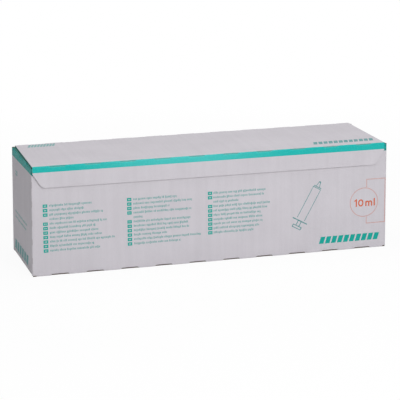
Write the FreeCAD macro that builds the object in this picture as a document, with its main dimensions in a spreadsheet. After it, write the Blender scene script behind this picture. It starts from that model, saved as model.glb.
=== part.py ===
"""A long corrugated carton with a hinged lid and a flap that closes over its front wall.

The frame is in millimetres: X runs along the carton, -Y is its front, +Z is up, and the origin
is the middle of its footprint on the floor. One blank of board is folded into all of it. Three
parts of that blank move on each other: the carton itself with its glued bottom and folded-in
dust flaps, the lid, and the flap on the lid's front edge.
"""

import FreeCAD, Part
import Sketcher
import os

OUT = "parts"
LENGTH_TOLERANCE = 1e-3
# the largest share of a thickness or an inset that a fold's outer radius may take up
ROUND_SHARE = 0.9
ALONG_X = FreeCAD.Vector(1, 0, 0)
ALONG_Y = FreeCAD.Vector(0, 1, 0)
ALONG_Z = FreeCAD.Vector(0, 0, 1)

# alias, size in millimetres, what it is
DRIVING = [
    ("carton_length", 425.0, "outside length, over the two end walls"),
    ("carton_depth", 122.0, "outside depth, over the front flap and the back wall"),
    ("carton_height", 127.5, "outside height, to the top of the lid"),
    ("board", 1.5, "thickness of the corrugated board"),
    ("fold_round", 1.15, "outer radius of a fold"),
    ("fold_gap", 0.15, "free height in the mitre of a fold that moves"),
    ("flap_gap", 0.3, "free space between the front flap and the front wall"),
    ("lid_gap", 0.2, "free space between the lid and what lies under it"),
    ("left_inset", 1.2, "how far the lid's left end lies inside the left end wall"),
    ("right_inset", 3.8, "how far the lid's right end lies inside the right end wall"),
    ("flap_height", 26.0, "front flap, from the top fold to its free edge"),
    ("flap_shoulder", 8.5, "straight upper part of the front flap's sides"),
    ("flap_slant", 10.5, "how far the front flap's sides lean in below that"),
    ("flap_corner", 8.0, "radius of the front flap's lower corners"),
    ("dust_reach", 62.0, "dust flaps, from the end wall to their free edge"),
    ("dust_taper", 14.0, "cut-off corners of the dust flaps"),
    ("tuck_gap", 1.5, "free space beside a flap that is folded in between two walls"),
    ("bottom_reach", 62.0, "inner bottom flaps, from the end wall to their free edge"),
    ("bottom_seam", 0.6, "gap between the two outer bottom flaps"),
    ("bottom_inset", 1.3, "how far the outer bottom flaps lie inside the end walls"),
    ("tab_width", 30.0, "glue tab that closes the sleeve"),
    ("tab_taper", 8.0, "cut-off corners of the glue tab"),
    ("slit_length", 20.3, "one cut in a long fold"),
    ("slit_pitch", 40.6, "from one cut to the next along a long fold"),
    ("slit_margin", 18.0, "least uncut length at each end of a fold"),
    ("slit_depth", 1.4, "leg of the notch that a cut leaves on a fold's corner"),
    ("post_slit_length", 8.0, "one cut in an upright fold"),
    ("post_slit_pitch", 22.0, "from one cut to the next along an upright fold"),
]

# alias, formula on the sheet, what it is
DERIVED = [
    ("half_length", "=carton_length / 2", "end wall's outer face"),
    ("back_face", "=carton_depth / 2", "back wall's outer face"),
    ("flap_face", "=-carton_depth / 2", "front flap's outer face"),
    ("front_face", "=flap_face + board + flap_gap", "front wall's outer face"),
    ("middle_line", "=(front_face + back_face) / 2", "middle of the sleeve's depth"),
    ("tuck_front", "=front_face + board + tuck_gap", "front edge of a folded-in flap"),
    ("tuck_back", "=back_face - board - tuck_gap", "back edge of a folded-in flap"),
    ("lid_under", "=carton_height - board", "underside of the lid"),
    ("rim", "=lid_under - lid_gap", "top of the end and front walls"),
    ("lid_left", "=left_inset - half_length", "left end of the lid and of the front flap"),
    ("lid_right", "=half_length - right_inset", "right end of the lid and of the front flap"),
    ("outer_round", f"=min(fold_round; {ROUND_SHARE} * board; {ROUND_SHARE} * bottom_inset)",
     "outer radius of a fold, within the board it turns"),
    ("half_board", "=board / 2", "how deep a folded-in panel is rooted in the wall it starts from"),
    ("slit_past", "=slit_depth / 4", "how far a cut's outline reaches past its corner"),
    ("long_slits", "=max(2; floor((carton_length - 2 * slit_margin - slit_length) / slit_pitch) + 1)",
     "cuts along a long fold"),
    ("end_slits", "=max(2; floor((back_face - front_face - slit_margin - slit_length) / slit_pitch) + 1)",
     "cuts along an end fold"),
    ("post_slits", "=max(2; floor((rim - slit_margin - post_slit_length) / post_slit_pitch) + 1)",
     "cuts along an upright fold"),
    ("long_row", "=slit_pitch * (long_slits - 1) + slit_length", "all the cuts of a long fold"),
    ("end_row", "=slit_pitch * (end_slits - 1) + slit_length", "all the cuts of an end fold"),
    ("post_row", "=post_slit_pitch * (post_slits - 1) + post_slit_length",
     "all the cuts of an upright fold"),
]


class Cells:
    """Reads a value from the sheet by its alias, as an expression."""

    def __getattr__(self, alias):
        return f"Sizes.{alias}"


CELL = Cells()


def make_sheet(doc):
    """The spreadsheet: driving sizes as plain numbers, then what follows from them."""
    sheet = doc.addObject("Spreadsheet::Sheet", "Sizes")
    for row, (alias, value, note) in enumerate(DRIVING + DERIVED, start=1):
        sheet.set(f"A{row}", note)
        sheet.set(f"B{row}", str(value))
        sheet.setAlias(f"B{row}", alias)
    doc.recompute()
    return sheet


def make_body(doc, label):
    """An empty body whose label names the piece."""
    body = doc.addObject("PartDesign::Body", label)
    body.Label = label
    return body


def same(one, other):
    """True for two lengths that are equal within the tolerance."""
    return abs(one - other) < LENGTH_TOLERANCE


def origin_feature(body, role):
    """The body's own origin plane or axis with that role."""
    return next(feature for feature in body.Origin.OriginFeatures if feature.Role == role)


def value_of(sketch, expression):
    """What an expression comes to now, as a plain number."""
    result = sketch.evalExpression(expression)
    return float(getattr(result, "Value", result))


def bind_start(sketch, kind, edge, expression):
    """Holds an edge's start point at an expression's distance from the sketch's origin."""
    constraint = Sketcher.Constraint(kind, -1, 1, edge, 1, value_of(sketch, expression))
    index = sketch.addConstraint(constraint)
    sketch.setExpression(f"Constraints[{index}]", expression)


def outline(body, name, plane, loops, offset=None):
    """A sketch of closed straight-sided loops. Each corner is a pair of expressions, across and
    up in the plane, and stays bound to them."""
    sketch = body.newObject("Sketcher::SketchObject", name)
    sketch.AttachmentSupport = [(origin_feature(body, plane), "")]
    sketch.MapMode = "FlatFace"
    if offset:
        sketch.setExpression("AttachmentOffset.Base.z", offset)
    for corners in loops:
        first = sketch.GeometryCount
        count = len(corners)
        places = [
            FreeCAD.Vector(value_of(sketch, across), value_of(sketch, up), 0)
            for across, up in corners
        ]
        for i in range(count):
            sketch.addGeometry(Part.LineSegment(places[i], places[(i + 1) % count]), False)
        for i in range(count):
            following = first + (i + 1) % count
            sketch.addConstraint(Sketcher.Constraint("Coincident", first + i, 2, following, 1))
        for i, (across, up) in enumerate(corners):
            bind_start(sketch, "DistanceX", first + i, across)
            bind_start(sketch, "DistanceY", first + i, up)
    return sketch


def rectangle(low_across, low_up, high_across, high_up):
    """The four corners of a rectangle."""
    return [
        (low_across, low_up),
        (high_across, low_up),
        (high_across, high_up),
        (low_across, high_up),
    ]


def extrude(body, kind, sketch, length, reverse=False, symmetric=False):
    """Board added by a Pad or cut away by a Pocket, to a length that is an expression."""
    feature = body.newObject(f"PartDesign::{kind}", f"{sketch.Name}_{kind.lower()}")
    feature.Profile = sketch
    feature.Reversed = reverse
    feature.Midplane = symmetric
    feature.setExpression("Length", length)
    return feature


def repeat(body, feature, axis, pitch, count, backwards=False):
    """Copies of a cut along one of the body's axes. Pitch and count are expressions."""
    row = body.newObject("PartDesign::LinearPattern", feature.Name + "_row")
    row.Originals = [feature]
    row.Direction = (origin_feature(body, axis), [""])
    row.Reversed = backwards
    row.setExpression("Length", f"{pitch} * ({count} - 1)")
    row.setExpression("Occurrences", count)
    body.Tip = row


def straight_edges(shape, direction, wanted):
    """Names of the straight edges along a direction whose middle is wanted."""
    found = []
    for number, edge in enumerate(shape.Edges, start=1):
        ends = [vertex.Point for vertex in edge.Vertexes]
        if len(ends) != 2:
            continue
        span = ends[1] - ends[0]
        straight = same(span.Length, edge.Length)
        along = same(abs(span.dot(direction)), edge.Length)
        if straight and along and wanted((ends[0] + ends[1]) / 2):
            found.append(f"Edge{number}")
    return found


def round_edges(body, name, radius, direction, wanted):
    """Rounds the straight edges that are wanted, at a radius that is an expression."""
    body.Document.recompute()
    base = body.Tip
    feature = body.newObject("PartDesign::Fillet", name)
    feature.Base = (base, straight_edges(base.Shape, direction, wanted))
    feature.setExpression("Radius", radius)


def notch(across, up, into_across, into_up):
    """What a cut leaves on a fold's outer corner: the corner is taken off at 45 degrees.
    The signs say which way the board lies from the corner. The loop reaches a little past the
    corner, so that no skin is left."""
    leg = CELL.slit_depth
    past = CELL.slit_past
    return [
        (f"{across} - ({into_across}) * {past}", f"{up} - ({into_up}) * {past}"),
        (f"{across} + ({into_across}) * {leg}", f"{up} - ({into_up}) * {past}"),
        (f"{across} + ({into_across}) * {leg}", up),
        (across, f"{up} + ({into_up}) * {leg}"),
        (f"{across} - ({into_across}) * {past}", f"{up} + ({into_up}) * {leg}"),
    ]


def long_slits(body, name, notches):
    """Cuts along folds that run in X, in a row that is centred on the carton."""
    sketch = outline(body, name, "YZ_Plane", notches, offset=f"-{CELL.long_row} / 2")
    cut = extrude(body, "Pocket", sketch, CELL.slit_length, reverse=True)
    repeat(body, cut, "X_Axis", CELL.slit_pitch, CELL.long_slits)


def mitre(body, name, corner, inward, lower_side):
    """Cuts a fold's top corner along the 45 degree plane through its outer edge. The board lies
    inward of the corner. The lower side keeps the wall and gives up the gap, and the upper side
    keeps the lid."""
    reach = f"2 * {CELL.board}"
    past = CELL.board
    top = f"{CELL.carton_height} + {past}"
    low = f"{CELL.carton_height} - {reach}"
    outer = f"{corner} - ({inward}) * {past}"
    inner = f"{corner} + ({inward}) * {reach}"
    if lower_side:
        gap = CELL.fold_gap
        loop = [(outer, f"{top} - {gap}"), (inner, f"{top} - {gap}"), (inner, f"{low} - {gap}")]
    else:
        loop = [(outer, top), (inner, low), (outer, low)]
    sketch = outline(body, name, "YZ_Plane", [loop])
    extrude(body, "Pocket", sketch, CELL.carton_length, symmetric=True)


def sleeve(body, size):
    """The four walls with a floor, before anything is folded in."""
    walls = outline(body, "walls", "XY_Plane", [
        rectangle(f"-{CELL.half_length}", CELL.front_face, CELL.half_length, CELL.back_face),
    ])
    extrude(body, "Pad", walls, CELL.rim)
    round_edges(body, "upright_folds", CELL.outer_round, ALONG_Z, lambda middle: True)
    inside = outline(body, "inside", "XY_Plane", [
        rectangle(
            f"-{CELL.half_length} + {CELL.board}",
            f"{CELL.front_face} + {CELL.board}",
            f"{CELL.half_length} - {CELL.board}",
            f"{CELL.back_face} - {CELL.board}",
        ),
    ], offset=CELL.board)
    extrude(body, "Pocket", inside, CELL.rim, reverse=True)
    faces = (size["front_face"], size["back_face"])
    round_edges(
        body, "bottom_folds", CELL.outer_round, ALONG_X,
        lambda middle: same(middle.z, 0) and any(same(middle.y, face) for face in faces),
    )


def bottom_flaps(body, size):
    """The two outer flaps meet in a seam and stop short of the end walls. The two inner ones lie
    on them, from the foot of each end wall."""
    past = CELL.board
    ends = outline(body, "bottom_ends", "XY_Plane", [
        rectangle(
            f"{side} * {CELL.half_length} - {CELL.bottom_inset}", f"{CELL.front_face} - {past}",
            f"{side} * {CELL.half_length} + {CELL.bottom_inset}", f"{CELL.back_face} + {past}",
        )
        for side in (-1, 1)
    ])
    extrude(body, "Pocket", ends, CELL.board, reverse=True)
    seam = outline(body, "seam", "XY_Plane", [
        rectangle(
            f"-{CELL.half_length}", f"{CELL.middle_line} - {CELL.bottom_seam} / 2",
            CELL.half_length, f"{CELL.middle_line} + {CELL.bottom_seam} / 2",
        ),
    ])
    extrude(body, "Pocket", seam, CELL.board, reverse=True)
    root = f"{CELL.half_length} - {CELL.half_board}"
    tip = f"{CELL.half_length} - {CELL.bottom_reach}"
    inner = outline(body, "bottom_inner", "XY_Plane", [
        rectangle(f"-({root})", CELL.tuck_front, f"-({tip})", CELL.tuck_back),
        rectangle(tip, CELL.tuck_front, root, CELL.tuck_back),
    ], offset=CELL.board)
    extrude(body, "Pad", inner, CELL.board)
    round_edges(
        body, "end_foot_folds", CELL.outer_round, ALONG_Y,
        lambda middle: same(middle.z, size["board"]) and same(abs(middle.x), size["half_length"]),
    )


def dust_flaps(body, size):
    """The flaps at the top of the end walls, folded in under the lid."""
    loops = []
    for side in (-1, 1):
        root = f"{side} * ({CELL.half_length} - {CELL.half_board})"
        bend = f"{side} * ({CELL.half_length} - {CELL.dust_reach} + {CELL.dust_taper})"
        tip = f"{side} * ({CELL.half_length} - {CELL.dust_reach})"
        loops.append([
            (root, CELL.tuck_front),
            (bend, CELL.tuck_front),
            (tip, f"{CELL.tuck_front} + {CELL.dust_taper}"),
            (tip, f"{CELL.tuck_back} - {CELL.dust_taper}"),
            (bend, CELL.tuck_back),
            (root, CELL.tuck_back),
        ])
    sketch = outline(body, "dust", "XY_Plane", loops, offset=f"{CELL.rim} - {CELL.board}")
    extrude(body, "Pad", sketch, CELL.board)
    round_edges(
        body, "end_top_folds", CELL.outer_round, ALONG_Y,
        lambda middle: same(middle.z, size["rim"]) and same(abs(middle.x), size["half_length"]),
    )


def lid_root(body, size):
    """The top of the back wall, which the lid turns on. It is mitred against the lid."""
    root = outline(body, "lid_root", "XY_Plane", [
        rectangle(
            CELL.lid_left, f"{CELL.back_face} - {CELL.board}",
            CELL.lid_right, CELL.back_face,
        ),
    ], offset=f"{CELL.rim} - {CELL.board}")
    extrude(body, "Pad", root, f"{CELL.carton_height} - {CELL.rim} + {CELL.board}")
    top = size["carton_height"]
    round_edges(
        body, "lid_root_fold", CELL.outer_round, ALONG_X,
        lambda middle: same(middle.z, top) and same(middle.y, size["back_face"]),
    )
    mitre(body, "lid_root_mitre", CELL.back_face, -1, lower_side=True)


def glue_tab(body):
    """The tab inside the back wall, at the right-hand end, that closes the sleeve."""
    low = f"2 * {CELL.board} + {CELL.tuck_gap}"
    high = f"{CELL.rim} - {CELL.board} - {CELL.tuck_gap}"
    root = f"{CELL.half_length} - {CELL.half_board}"
    tip = f"{CELL.half_length} - {CELL.board} - {CELL.tab_width}"
    tab = outline(body, "tab", "XZ_Plane", [[
        (root, low),
        (root, high),
        (tip, f"{high} - {CELL.tab_taper}"),
        (tip, f"{low} + {CELL.tab_taper}"),
    ]], offset=f"-({CELL.back_face} - {CELL.half_board})")
    extrude(body, "Pad", tab, f"{CELL.half_board} + {CELL.board}")


def carton_slits(body):
    """Cuts in the carton's own folds: bottom, lid root, end tops and uprights."""
    long_slits(body, "bottom_slits", [
        notch(CELL.front_face, "0", 1, 1),
        notch(CELL.back_face, "0", -1, 1),
        notch(CELL.back_face, CELL.carton_height, -1, -1),
    ])
    ends = outline(body, "end_slits", "XZ_Plane", [
        notch(f"-{CELL.half_length}", CELL.rim, 1, -1),
        notch(CELL.half_length, CELL.rim, -1, -1),
    ], offset=f"-({CELL.middle_line} + {CELL.end_row} / 2)")
    cut = extrude(body, "Pocket", ends, CELL.slit_length, reverse=True)
    repeat(body, cut, "Y_Axis", CELL.slit_pitch, CELL.end_slits, backwards=True)
    posts = outline(body, "post_slits", "XY_Plane", [
        notch(f"{side} * {CELL.half_length}", face, -side, inward)
        for side in (-1, 1)
        for face, inward in ((CELL.front_face, 1), (CELL.back_face, -1))
    ], offset=f"({CELL.rim} - {CELL.post_row}) / 2")
    cut = extrude(body, "Pocket", posts, CELL.post_slit_length, reverse=True)
    repeat(body, cut, "Z_Axis", CELL.post_slit_pitch, CELL.post_slits)


def make_carton(doc, size):
    """Walls, glued bottom, dust flaps and glue tab."""
    body = make_body(doc, "carton_body")
    sleeve(body, size)
    bottom_flaps(body, size)
    dust_flaps(body, size)
    lid_root(body, size)
    glue_tab(body)
    carton_slits(body)
    return body


def make_lid(doc, size):
    """The top panel, mitred along the back hinge and along the front fold."""
    body = make_body(doc, "lid")
    plate = outline(body, "lid_plate", "XY_Plane", [
        rectangle(CELL.lid_left, CELL.flap_face, CELL.lid_right, CELL.back_face),
    ], offset=CELL.lid_under)
    extrude(body, "Pad", plate, CELL.board)
    top = size["carton_height"]
    round_edges(body, "lid_folds", CELL.outer_round, ALONG_X, lambda middle: same(middle.z, top))
    mitre(body, "lid_front_mitre", CELL.flap_face, 1, lower_side=False)
    mitre(body, "lid_back_mitre", CELL.back_face, -1, lower_side=False)
    long_slits(body, "lid_slits", [
        notch(CELL.flap_face, CELL.carton_height, 1, -1),
        notch(CELL.back_face, CELL.carton_height, -1, -1),
    ])
    return body


def make_front_flap(doc, size):
    """The flap on the lid's front edge, with leaning sides and round lower corners."""
    body = make_body(doc, "front_flap")
    shoulder = f"{CELL.carton_height} - {CELL.flap_shoulder}"
    free_edge = f"{CELL.carton_height} - {CELL.flap_height}"
    plate = outline(body, "flap_plate", "XZ_Plane", [[
        (CELL.lid_left, CELL.carton_height),
        (CELL.lid_left, shoulder),
        (f"{CELL.lid_left} + {CELL.flap_slant}", free_edge),
        (f"{CELL.lid_right} - {CELL.flap_slant}", free_edge),
        (CELL.lid_right, shoulder),
        (CELL.lid_right, CELL.carton_height),
    ]], offset=f"-{CELL.flap_face}")
    extrude(body, "Pad", plate, CELL.board, reverse=True)
    top = size["carton_height"]
    bottom = top - size["flap_height"]
    round_edges(
        body, "flap_corners", CELL.flap_corner, ALONG_Y, lambda middle: same(middle.z, bottom),
    )
    round_edges(
        body, "flap_fold", CELL.outer_round, ALONG_X,
        lambda middle: same(middle.z, top) and same(middle.y, size["flap_face"]),
    )
    mitre(body, "flap_mitre", CELL.flap_face, 1, lower_side=True)
    long_slits(body, "flap_slits", [notch(CELL.flap_face, CELL.carton_height, 1, -1)])
    return body


def check(doc, bodies):
    """Stops if an object failed or a piece is not one valid closed solid."""
    failed = [obj.Name for obj in doc.Objects if {"Invalid", "Error"} & set(obj.State)]
    if failed:
        raise RuntimeError(f"these objects failed: {failed}")
    for body in bodies:
        shape = body.Shape
        if shape.isNull() or not shape.isValid() or len(shape.Solids) != 1:
            raise RuntimeError(f"{body.Label} is not one valid solid")


def main():
    doc = FreeCAD.newDocument("carton")
    sheet = make_sheet(doc)
    size = {alias: float(sheet.get(alias)) for alias, _, _ in DRIVING + DERIVED}
    bodies = [make_carton(doc, size), make_lid(doc, size), make_front_flap(doc, size)]
    doc.recompute()
    check(doc, bodies)
    os.makedirs(OUT, exist_ok=True)
    for body in bodies:
        body.Shape.exportStep(os.path.join(OUT, f"{body.Label}.step"))
        box = body.Shape.BoundBox
        print(f"{body.Label}: {box.XLength:.2f} x {box.YLength:.2f} x {box.ZLength:.2f} mm,"
              f" {body.Shape.Volume / 1000:.2f} cm3")


main()
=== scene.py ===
"""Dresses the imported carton: folded corrugated board, its printed bands and marks, and the stage."""

import math

import bpy
import numpy as np
from bpy.props import FloatProperty, FloatVectorProperty, IntProperty, PointerProperty
from bpy.types import Operator, Panel, PropertyGroup
from mathutils import Matrix, Vector


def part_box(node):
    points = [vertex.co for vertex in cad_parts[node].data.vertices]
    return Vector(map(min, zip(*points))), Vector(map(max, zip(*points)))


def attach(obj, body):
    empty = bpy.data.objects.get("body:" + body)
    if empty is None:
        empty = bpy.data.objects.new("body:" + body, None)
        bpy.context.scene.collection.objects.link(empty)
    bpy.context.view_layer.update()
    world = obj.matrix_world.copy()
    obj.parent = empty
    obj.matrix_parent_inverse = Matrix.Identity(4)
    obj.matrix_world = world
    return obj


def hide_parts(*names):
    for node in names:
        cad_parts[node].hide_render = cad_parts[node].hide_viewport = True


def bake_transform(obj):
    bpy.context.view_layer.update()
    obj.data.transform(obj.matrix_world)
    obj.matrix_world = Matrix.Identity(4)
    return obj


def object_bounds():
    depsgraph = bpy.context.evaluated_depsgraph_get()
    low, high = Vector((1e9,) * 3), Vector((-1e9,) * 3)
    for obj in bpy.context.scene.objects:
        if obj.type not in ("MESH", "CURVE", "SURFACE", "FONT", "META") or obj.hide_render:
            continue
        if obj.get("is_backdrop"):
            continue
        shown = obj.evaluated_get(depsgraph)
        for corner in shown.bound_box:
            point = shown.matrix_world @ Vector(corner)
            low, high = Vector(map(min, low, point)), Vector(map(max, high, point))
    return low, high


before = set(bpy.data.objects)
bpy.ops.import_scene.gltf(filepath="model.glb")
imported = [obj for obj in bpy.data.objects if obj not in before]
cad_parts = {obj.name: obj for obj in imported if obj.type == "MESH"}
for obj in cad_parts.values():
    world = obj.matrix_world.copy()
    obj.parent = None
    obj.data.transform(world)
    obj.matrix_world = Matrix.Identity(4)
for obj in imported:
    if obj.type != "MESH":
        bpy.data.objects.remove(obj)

bl_info = {
    "name": "Corrugated carton",
    "version": (1, 0, 0),
    "blender": (4, 5, 0),
    "location": "3D View > Sidebar > Carton",
    "description": "Builds the board, print and stage of a long corrugated carton",
    "category": "Object",
}

MM = 0.001
CAD_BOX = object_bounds()
WALLS_LOW, WALLS_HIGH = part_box("carton_body")
LID_LOW, LID_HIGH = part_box("lid")
FLAP_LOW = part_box("front_flap")[0]

# the UV map that holds the blank's coordinates, and two attributes of the board
SHEET = "sheet"
TORN = "torn"
WORN = "worn"
# finishes of the board's outer face, inner face and raw edge
BOARD_FINISHES = ("white_liner", "brown_board", "cut_edge")
OUTER, INNER, EDGE = 0, 1, 2

# a gap or step too small to see, and how near two lines of a grid may lie
HAIR = 0.05 * MM
SAME_LINE = 0.02 * MM
# samples round a fold and round a corner of the front flap
FOLD_SAMPLES = 9
CORNER_SAMPLES = 14
# grid lines at the end of a cut, as shares of its fade
FADE_LINES = (0.25, 0.5, 1.0)
SHARP_ANGLE = math.radians(38)
# least square of the sum of two unit normals, so that a sharp corner isn't drawn far in
MITRE_LIMIT = 0.9

# the wavy medium: samples in one wave, how far it stops from the ends of its run, its gap to the
# liners, and its section's corners as shares of the recess inwards and of its thickness up
WAVE_SAMPLES = 10
WAVE_END = 0.3 * MM
WAVE_GAP = 0.01 * MM
WAVE_SECTION = ((0.1, -0.5), (0.1, 0.5), (1.05, 0.5), (1.05, -0.5))

# the flat strip of a bowed panel beside its folds, and how far below the front flap's free edge
# the front wall's bow ends
CALM = 8 * MM
BOW_END = 2 * MM
# how sharply the dark marks begin at the cuts, and at those of the front flap
TEAR = 2.2
FLAP_TEAR = 1.2
# how plainly the dark marks show on each piece: board in the open cuts with painted shade, and on the
# bottom flaps also the painted shadow at their ends
DARK_MARKS_WALLS = 0.22
DARK_MARKS_INNER_FLAPS = 0.75
DARK_MARKS_BOTTOM_FLAPS = 1.0
DARK_MARKS_LID = 0.35
DARK_MARKS_FRONT_FLAP = 0.3
# the seam at the foot of an end wall, as a share of the foot seam
END_SEAM = 1.125
# how far before the first fold the glue tab ends, and its taper before that
TAB_ROOT = 1.6 * MM
TAPER_END = MM
# the part of the front wall's rim beside each corner in which no medium shows
WAVE_MARGIN = 2 * MM
# where an outer bottom flap's ears begin, are widest and end, past its fold
EAR_LINES = np.array([-1.5, -1.0, 4.0]) * MM


def length(name, description, millimetres):
    """A size property that is given in millimetres and kept in metres."""
    return FloatProperty(
        name=name, description=description, default=millimetres * MM, unit="LENGTH", precision=5
    )


def colour(name, description, red, green, blue):
    """A colour property that is given as it looks on screen and kept as light."""
    return FloatVectorProperty(
        name=name, description=description, default=tuple(linear((red, green, blue))),
        subtype="COLOR", size=3, min=0.0, max=1.0,
    )


def linear(screen):
    """Screen values from 0 to 255 as amounts of light from 0 to 1, by the sRGB curve."""
    share = np.asarray(screen, float) / 255
    return np.where(share <= 0.04045, share / 12.92, ((share + 0.055) / 1.055) ** 2.4)


class BoardSizes(PropertyGroup):
    """The corrugated board and how it is cut and folded."""

    board: length("Board", "Thickness of the board", 1.5)
    liner: length("Liner", "Thickness of one flat liner", 0.24)
    medium: length("Medium", "Thickness of the wavy sheet between the liners", 0.2)
    flute: length("Flute", "From one wave to the next", 3.2)
    recess: length("Recess", "How far in a cut edge looks open", 0.9)
    fold: length("Fold", "Outer radius of a fold", 1.15)
    fold_inside: length("Fold inside", "Inner radius of a fold", 0.25)
    fold_spread: length("Fold spread", "Board on each side that a fold draws along", 3.0)
    pressed: length("Pressed fold", "Thickness of the board in the front flap's crease", 1.0)
    cell: length("Cell", "Size of the mesh on a plain wall", 5.0)
    cut_length: length("Cut", "One cut in a long fold", 20.3)
    cut_pitch: length("Cut pitch", "From one cut to the next along a long fold", 40.6)
    cut_margin: length("Cut margin", "Least uncut length at one end of a fold", 18.0)
    cut_reach: length("Cut reach", "How far a cut opens on each side of its fold", 2.1)
    cut_depth: length("Cut depth", "How deep a cut opens", 1.1)
    cut_fade: length("Cut fade", "How slowly a cut closes at its ends", 2.0)
    # the front flap's dark marks, partly painted shade of its open slits, lie this far over on the lid
    cut_shift: length("Cut shift", "How far over the lid the front flap's cuts are worn", 1.2)
    post_cut_length: length("Upright cut", "One cut in an upright fold", 8.0)
    post_cut_pitch: length("Upright cut pitch", "From one cut to the next up a fold", 22.0)
    post_cut_reach: length("Upright cut reach", "How far an upright fold's cut opens", 1.0)
    post_cut_depth: length("Upright cut depth", "How deep a cut opens in an upright fold", 0.06)
    # painted shadow: the ends of a bottom fold are marked dark for the shade in the gap at the
    # corners; this is not wear
    corner_shadow: length("Corner wear", "How far the ends of a bottom fold are worn", 1.9)


class CartonSizes(PropertyGroup):
    """The panels that the blank folds into."""

    lid_gap: length("Lid gap", "Free space between the lid and what lies under it", 0.2)
    left_skew: length("Left skew", "How much further in the lid's left end lies at the back", 2.6)
    flap_shoulder: length("Flap shoulder", "Straight upper part of the front flap's sides", 8.5)
    flap_slant: length("Flap slant", "How far the front flap's sides lean in", 10.5)
    flap_corner: length("Flap corner", "Radius of the front flap's lower corners", 8.0)
    flap_rise: length("Flap rise", "How much shorter the front flap is at its left end", 1.6)
    tuck: length("Tuck", "Free space beside a folded-in flap", 1.5)
    dust_reach: length("Dust flaps", "From the end wall to their free edge", 62.0)
    dust_taper: length("Dust taper", "Cut-off corners of the dust flaps", 14.0)
    inner_reach: length("Inner bottom flaps", "From the end wall to their free edge", 62.0)
    seam: length("Bottom seam", "Gap between the outer bottom flaps", 0.6)
    bottom_inset: length("Bottom inset", "How far the outer bottom flaps stop inside the ends", 1.3)
    tab_width: length("Glue tab", "Width of the glue tab inside the back wall", 30.0)
    tab_taper: length("Tab taper", "Cut-off corners of the glue tab", 8.0)
    top_seam: length("Top seam", "Where the lid's board takes over from the walls", 5.5)
    foot_seam: length("Foot seam", "Where a bottom flap's board takes over from the walls", 4.0)
    crease: length("Crease", "Board that bends on each side of a moving fold", 1.6)
    swell: length("Swell", "How far a wall bows out in its middle", 0.25)
    foot_lean: length("Foot lean", "How far the left end leans out at its foot", 2.4)
    lean_reach: length("Lean reach", "Length of the long walls that the lean draws along", 30.0)


class PrintSizes(PropertyGroup):
    """Where the ink lies."""

    lift: length("Lift", "How far a printed mark stands proud of the board", 0.04)
    sink: length("Sink", "How far a printed mark reaches into the board", 0.08)
    raise_step: length("Raise", "How much higher ink lies on other ink", 0.03)
    path_step: length("Path step", "Largest step along a printed line", 2.5)
    wall_band: length("Wall band", "Foot of the band on the front wall, below the top", 10.2)
    end_band: length("End band", "The same on the left end, beside the front", 9.0)
    back_band: length("Back band", "The same on the back wall", 10.9)
    back_fold_band: length("Back fold band", "How far the back band reaches over the fold", 0.4)
    tuck_band: length("Tuck band", "How far the band runs on over the dust flaps", 5.0)
    flap_band: length("Flap band", "Foot of the band on the front flap's left, below the fold", 6.5)
    flap_band_right: length("Flap band right", "The same at its right end", 7.8)
    lid_band: length("Lid band", "How far that band reaches onto the lid at the left", 3.4)
    lid_band_right: length("Lid band right", "The same at the right", 0.9)
    band_waver: length("Band waver", "How much the band's upper edge wavers", 0.9)
    seed: IntProperty(name="Seed", description="Starts the random widths of the bars", default=7)


class CartonColours(PropertyGroup):
    """Inks and papers."""

    liner: colour("Liner", "White liner", 206, 202, 208)
    liner_shade: colour("Liner shade", "Cloudy parts of the white liner", 198, 194, 200)
    kraft: colour("Kraft", "Bare brown board", 158, 128, 98)
    kraft_dark: colour("Dark kraft", "Fibres in the bare board", 112, 86, 64)
    # cut: board in an open cut, darkened with painted shade of the slit; the same colour paints the
    # shadow in the gaps at the bottom flaps' ends
    cut: colour("Cut", "Torn board in a cut fold", 96, 84, 78)
    # edge: raw board darkened with painted shade of its recess; dark edge: painted shade in the
    # hollows of the flutes
    edge: colour("Edge", "Raw edge of the board", 100, 84, 72)
    edge_dark: colour("Dark edge", "Hollows in a raw edge", 62, 52, 46)
    # pale edge: painted light; the front flap's raw edge is lightened nearly to the liner, which
    # softens the shade line under the flap
    edge_pale: colour("Pale edge", "The flap's raw edge, pressed shut by the die", 196, 186, 182)
    # inked edge: painted shade; the lid's raw edges are tinted dark teal for the shaded gap beside its
    # left end, not for ink
    edge_teal_shade: colour("Inked edge", "The lid's raw edge, soiled by the ink", 84, 160, 150)
    teal: colour("Teal", "Teal ink", 14, 178, 172)
    # pale teal: the band's colour in the middle of the front flap and in random specks
    teal_pale: colour("Pale teal", "Teal ink where it lies thinly", 72, 194, 190)
    # deep teal: painted shade; the band on the walls is painted darker than on the flap, for the shade
    # on the left end and beside the flap
    teal_deep: colour("Deep teal", "Teal ink on the walls, where it lies thickly", 20, 156, 152)
    # shaded teal: painted shade along the rim, under the lid's edge and just below the folds, and the
    # tone of random darker patches on the walls' band
    teal_shade: colour("Shaded teal", "Soiled teal ink beside the folds", 18, 96, 88)
    teal_dark: colour("Dark teal", "Teal ink on the small marks", 6, 158, 146)
    bars: colour("Bars", "Fine grey-teal ink of the small bars", 116, 166, 164)
    blocks: colour("Blocks", "Grey-teal ink on the lid and the end", 66, 140, 140)
    orange: colour("Orange", "Orange ink", 204, 90, 38)
    pink: colour("Pale orange", "Orange ink in fine lines", 198, 152, 146)


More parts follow.
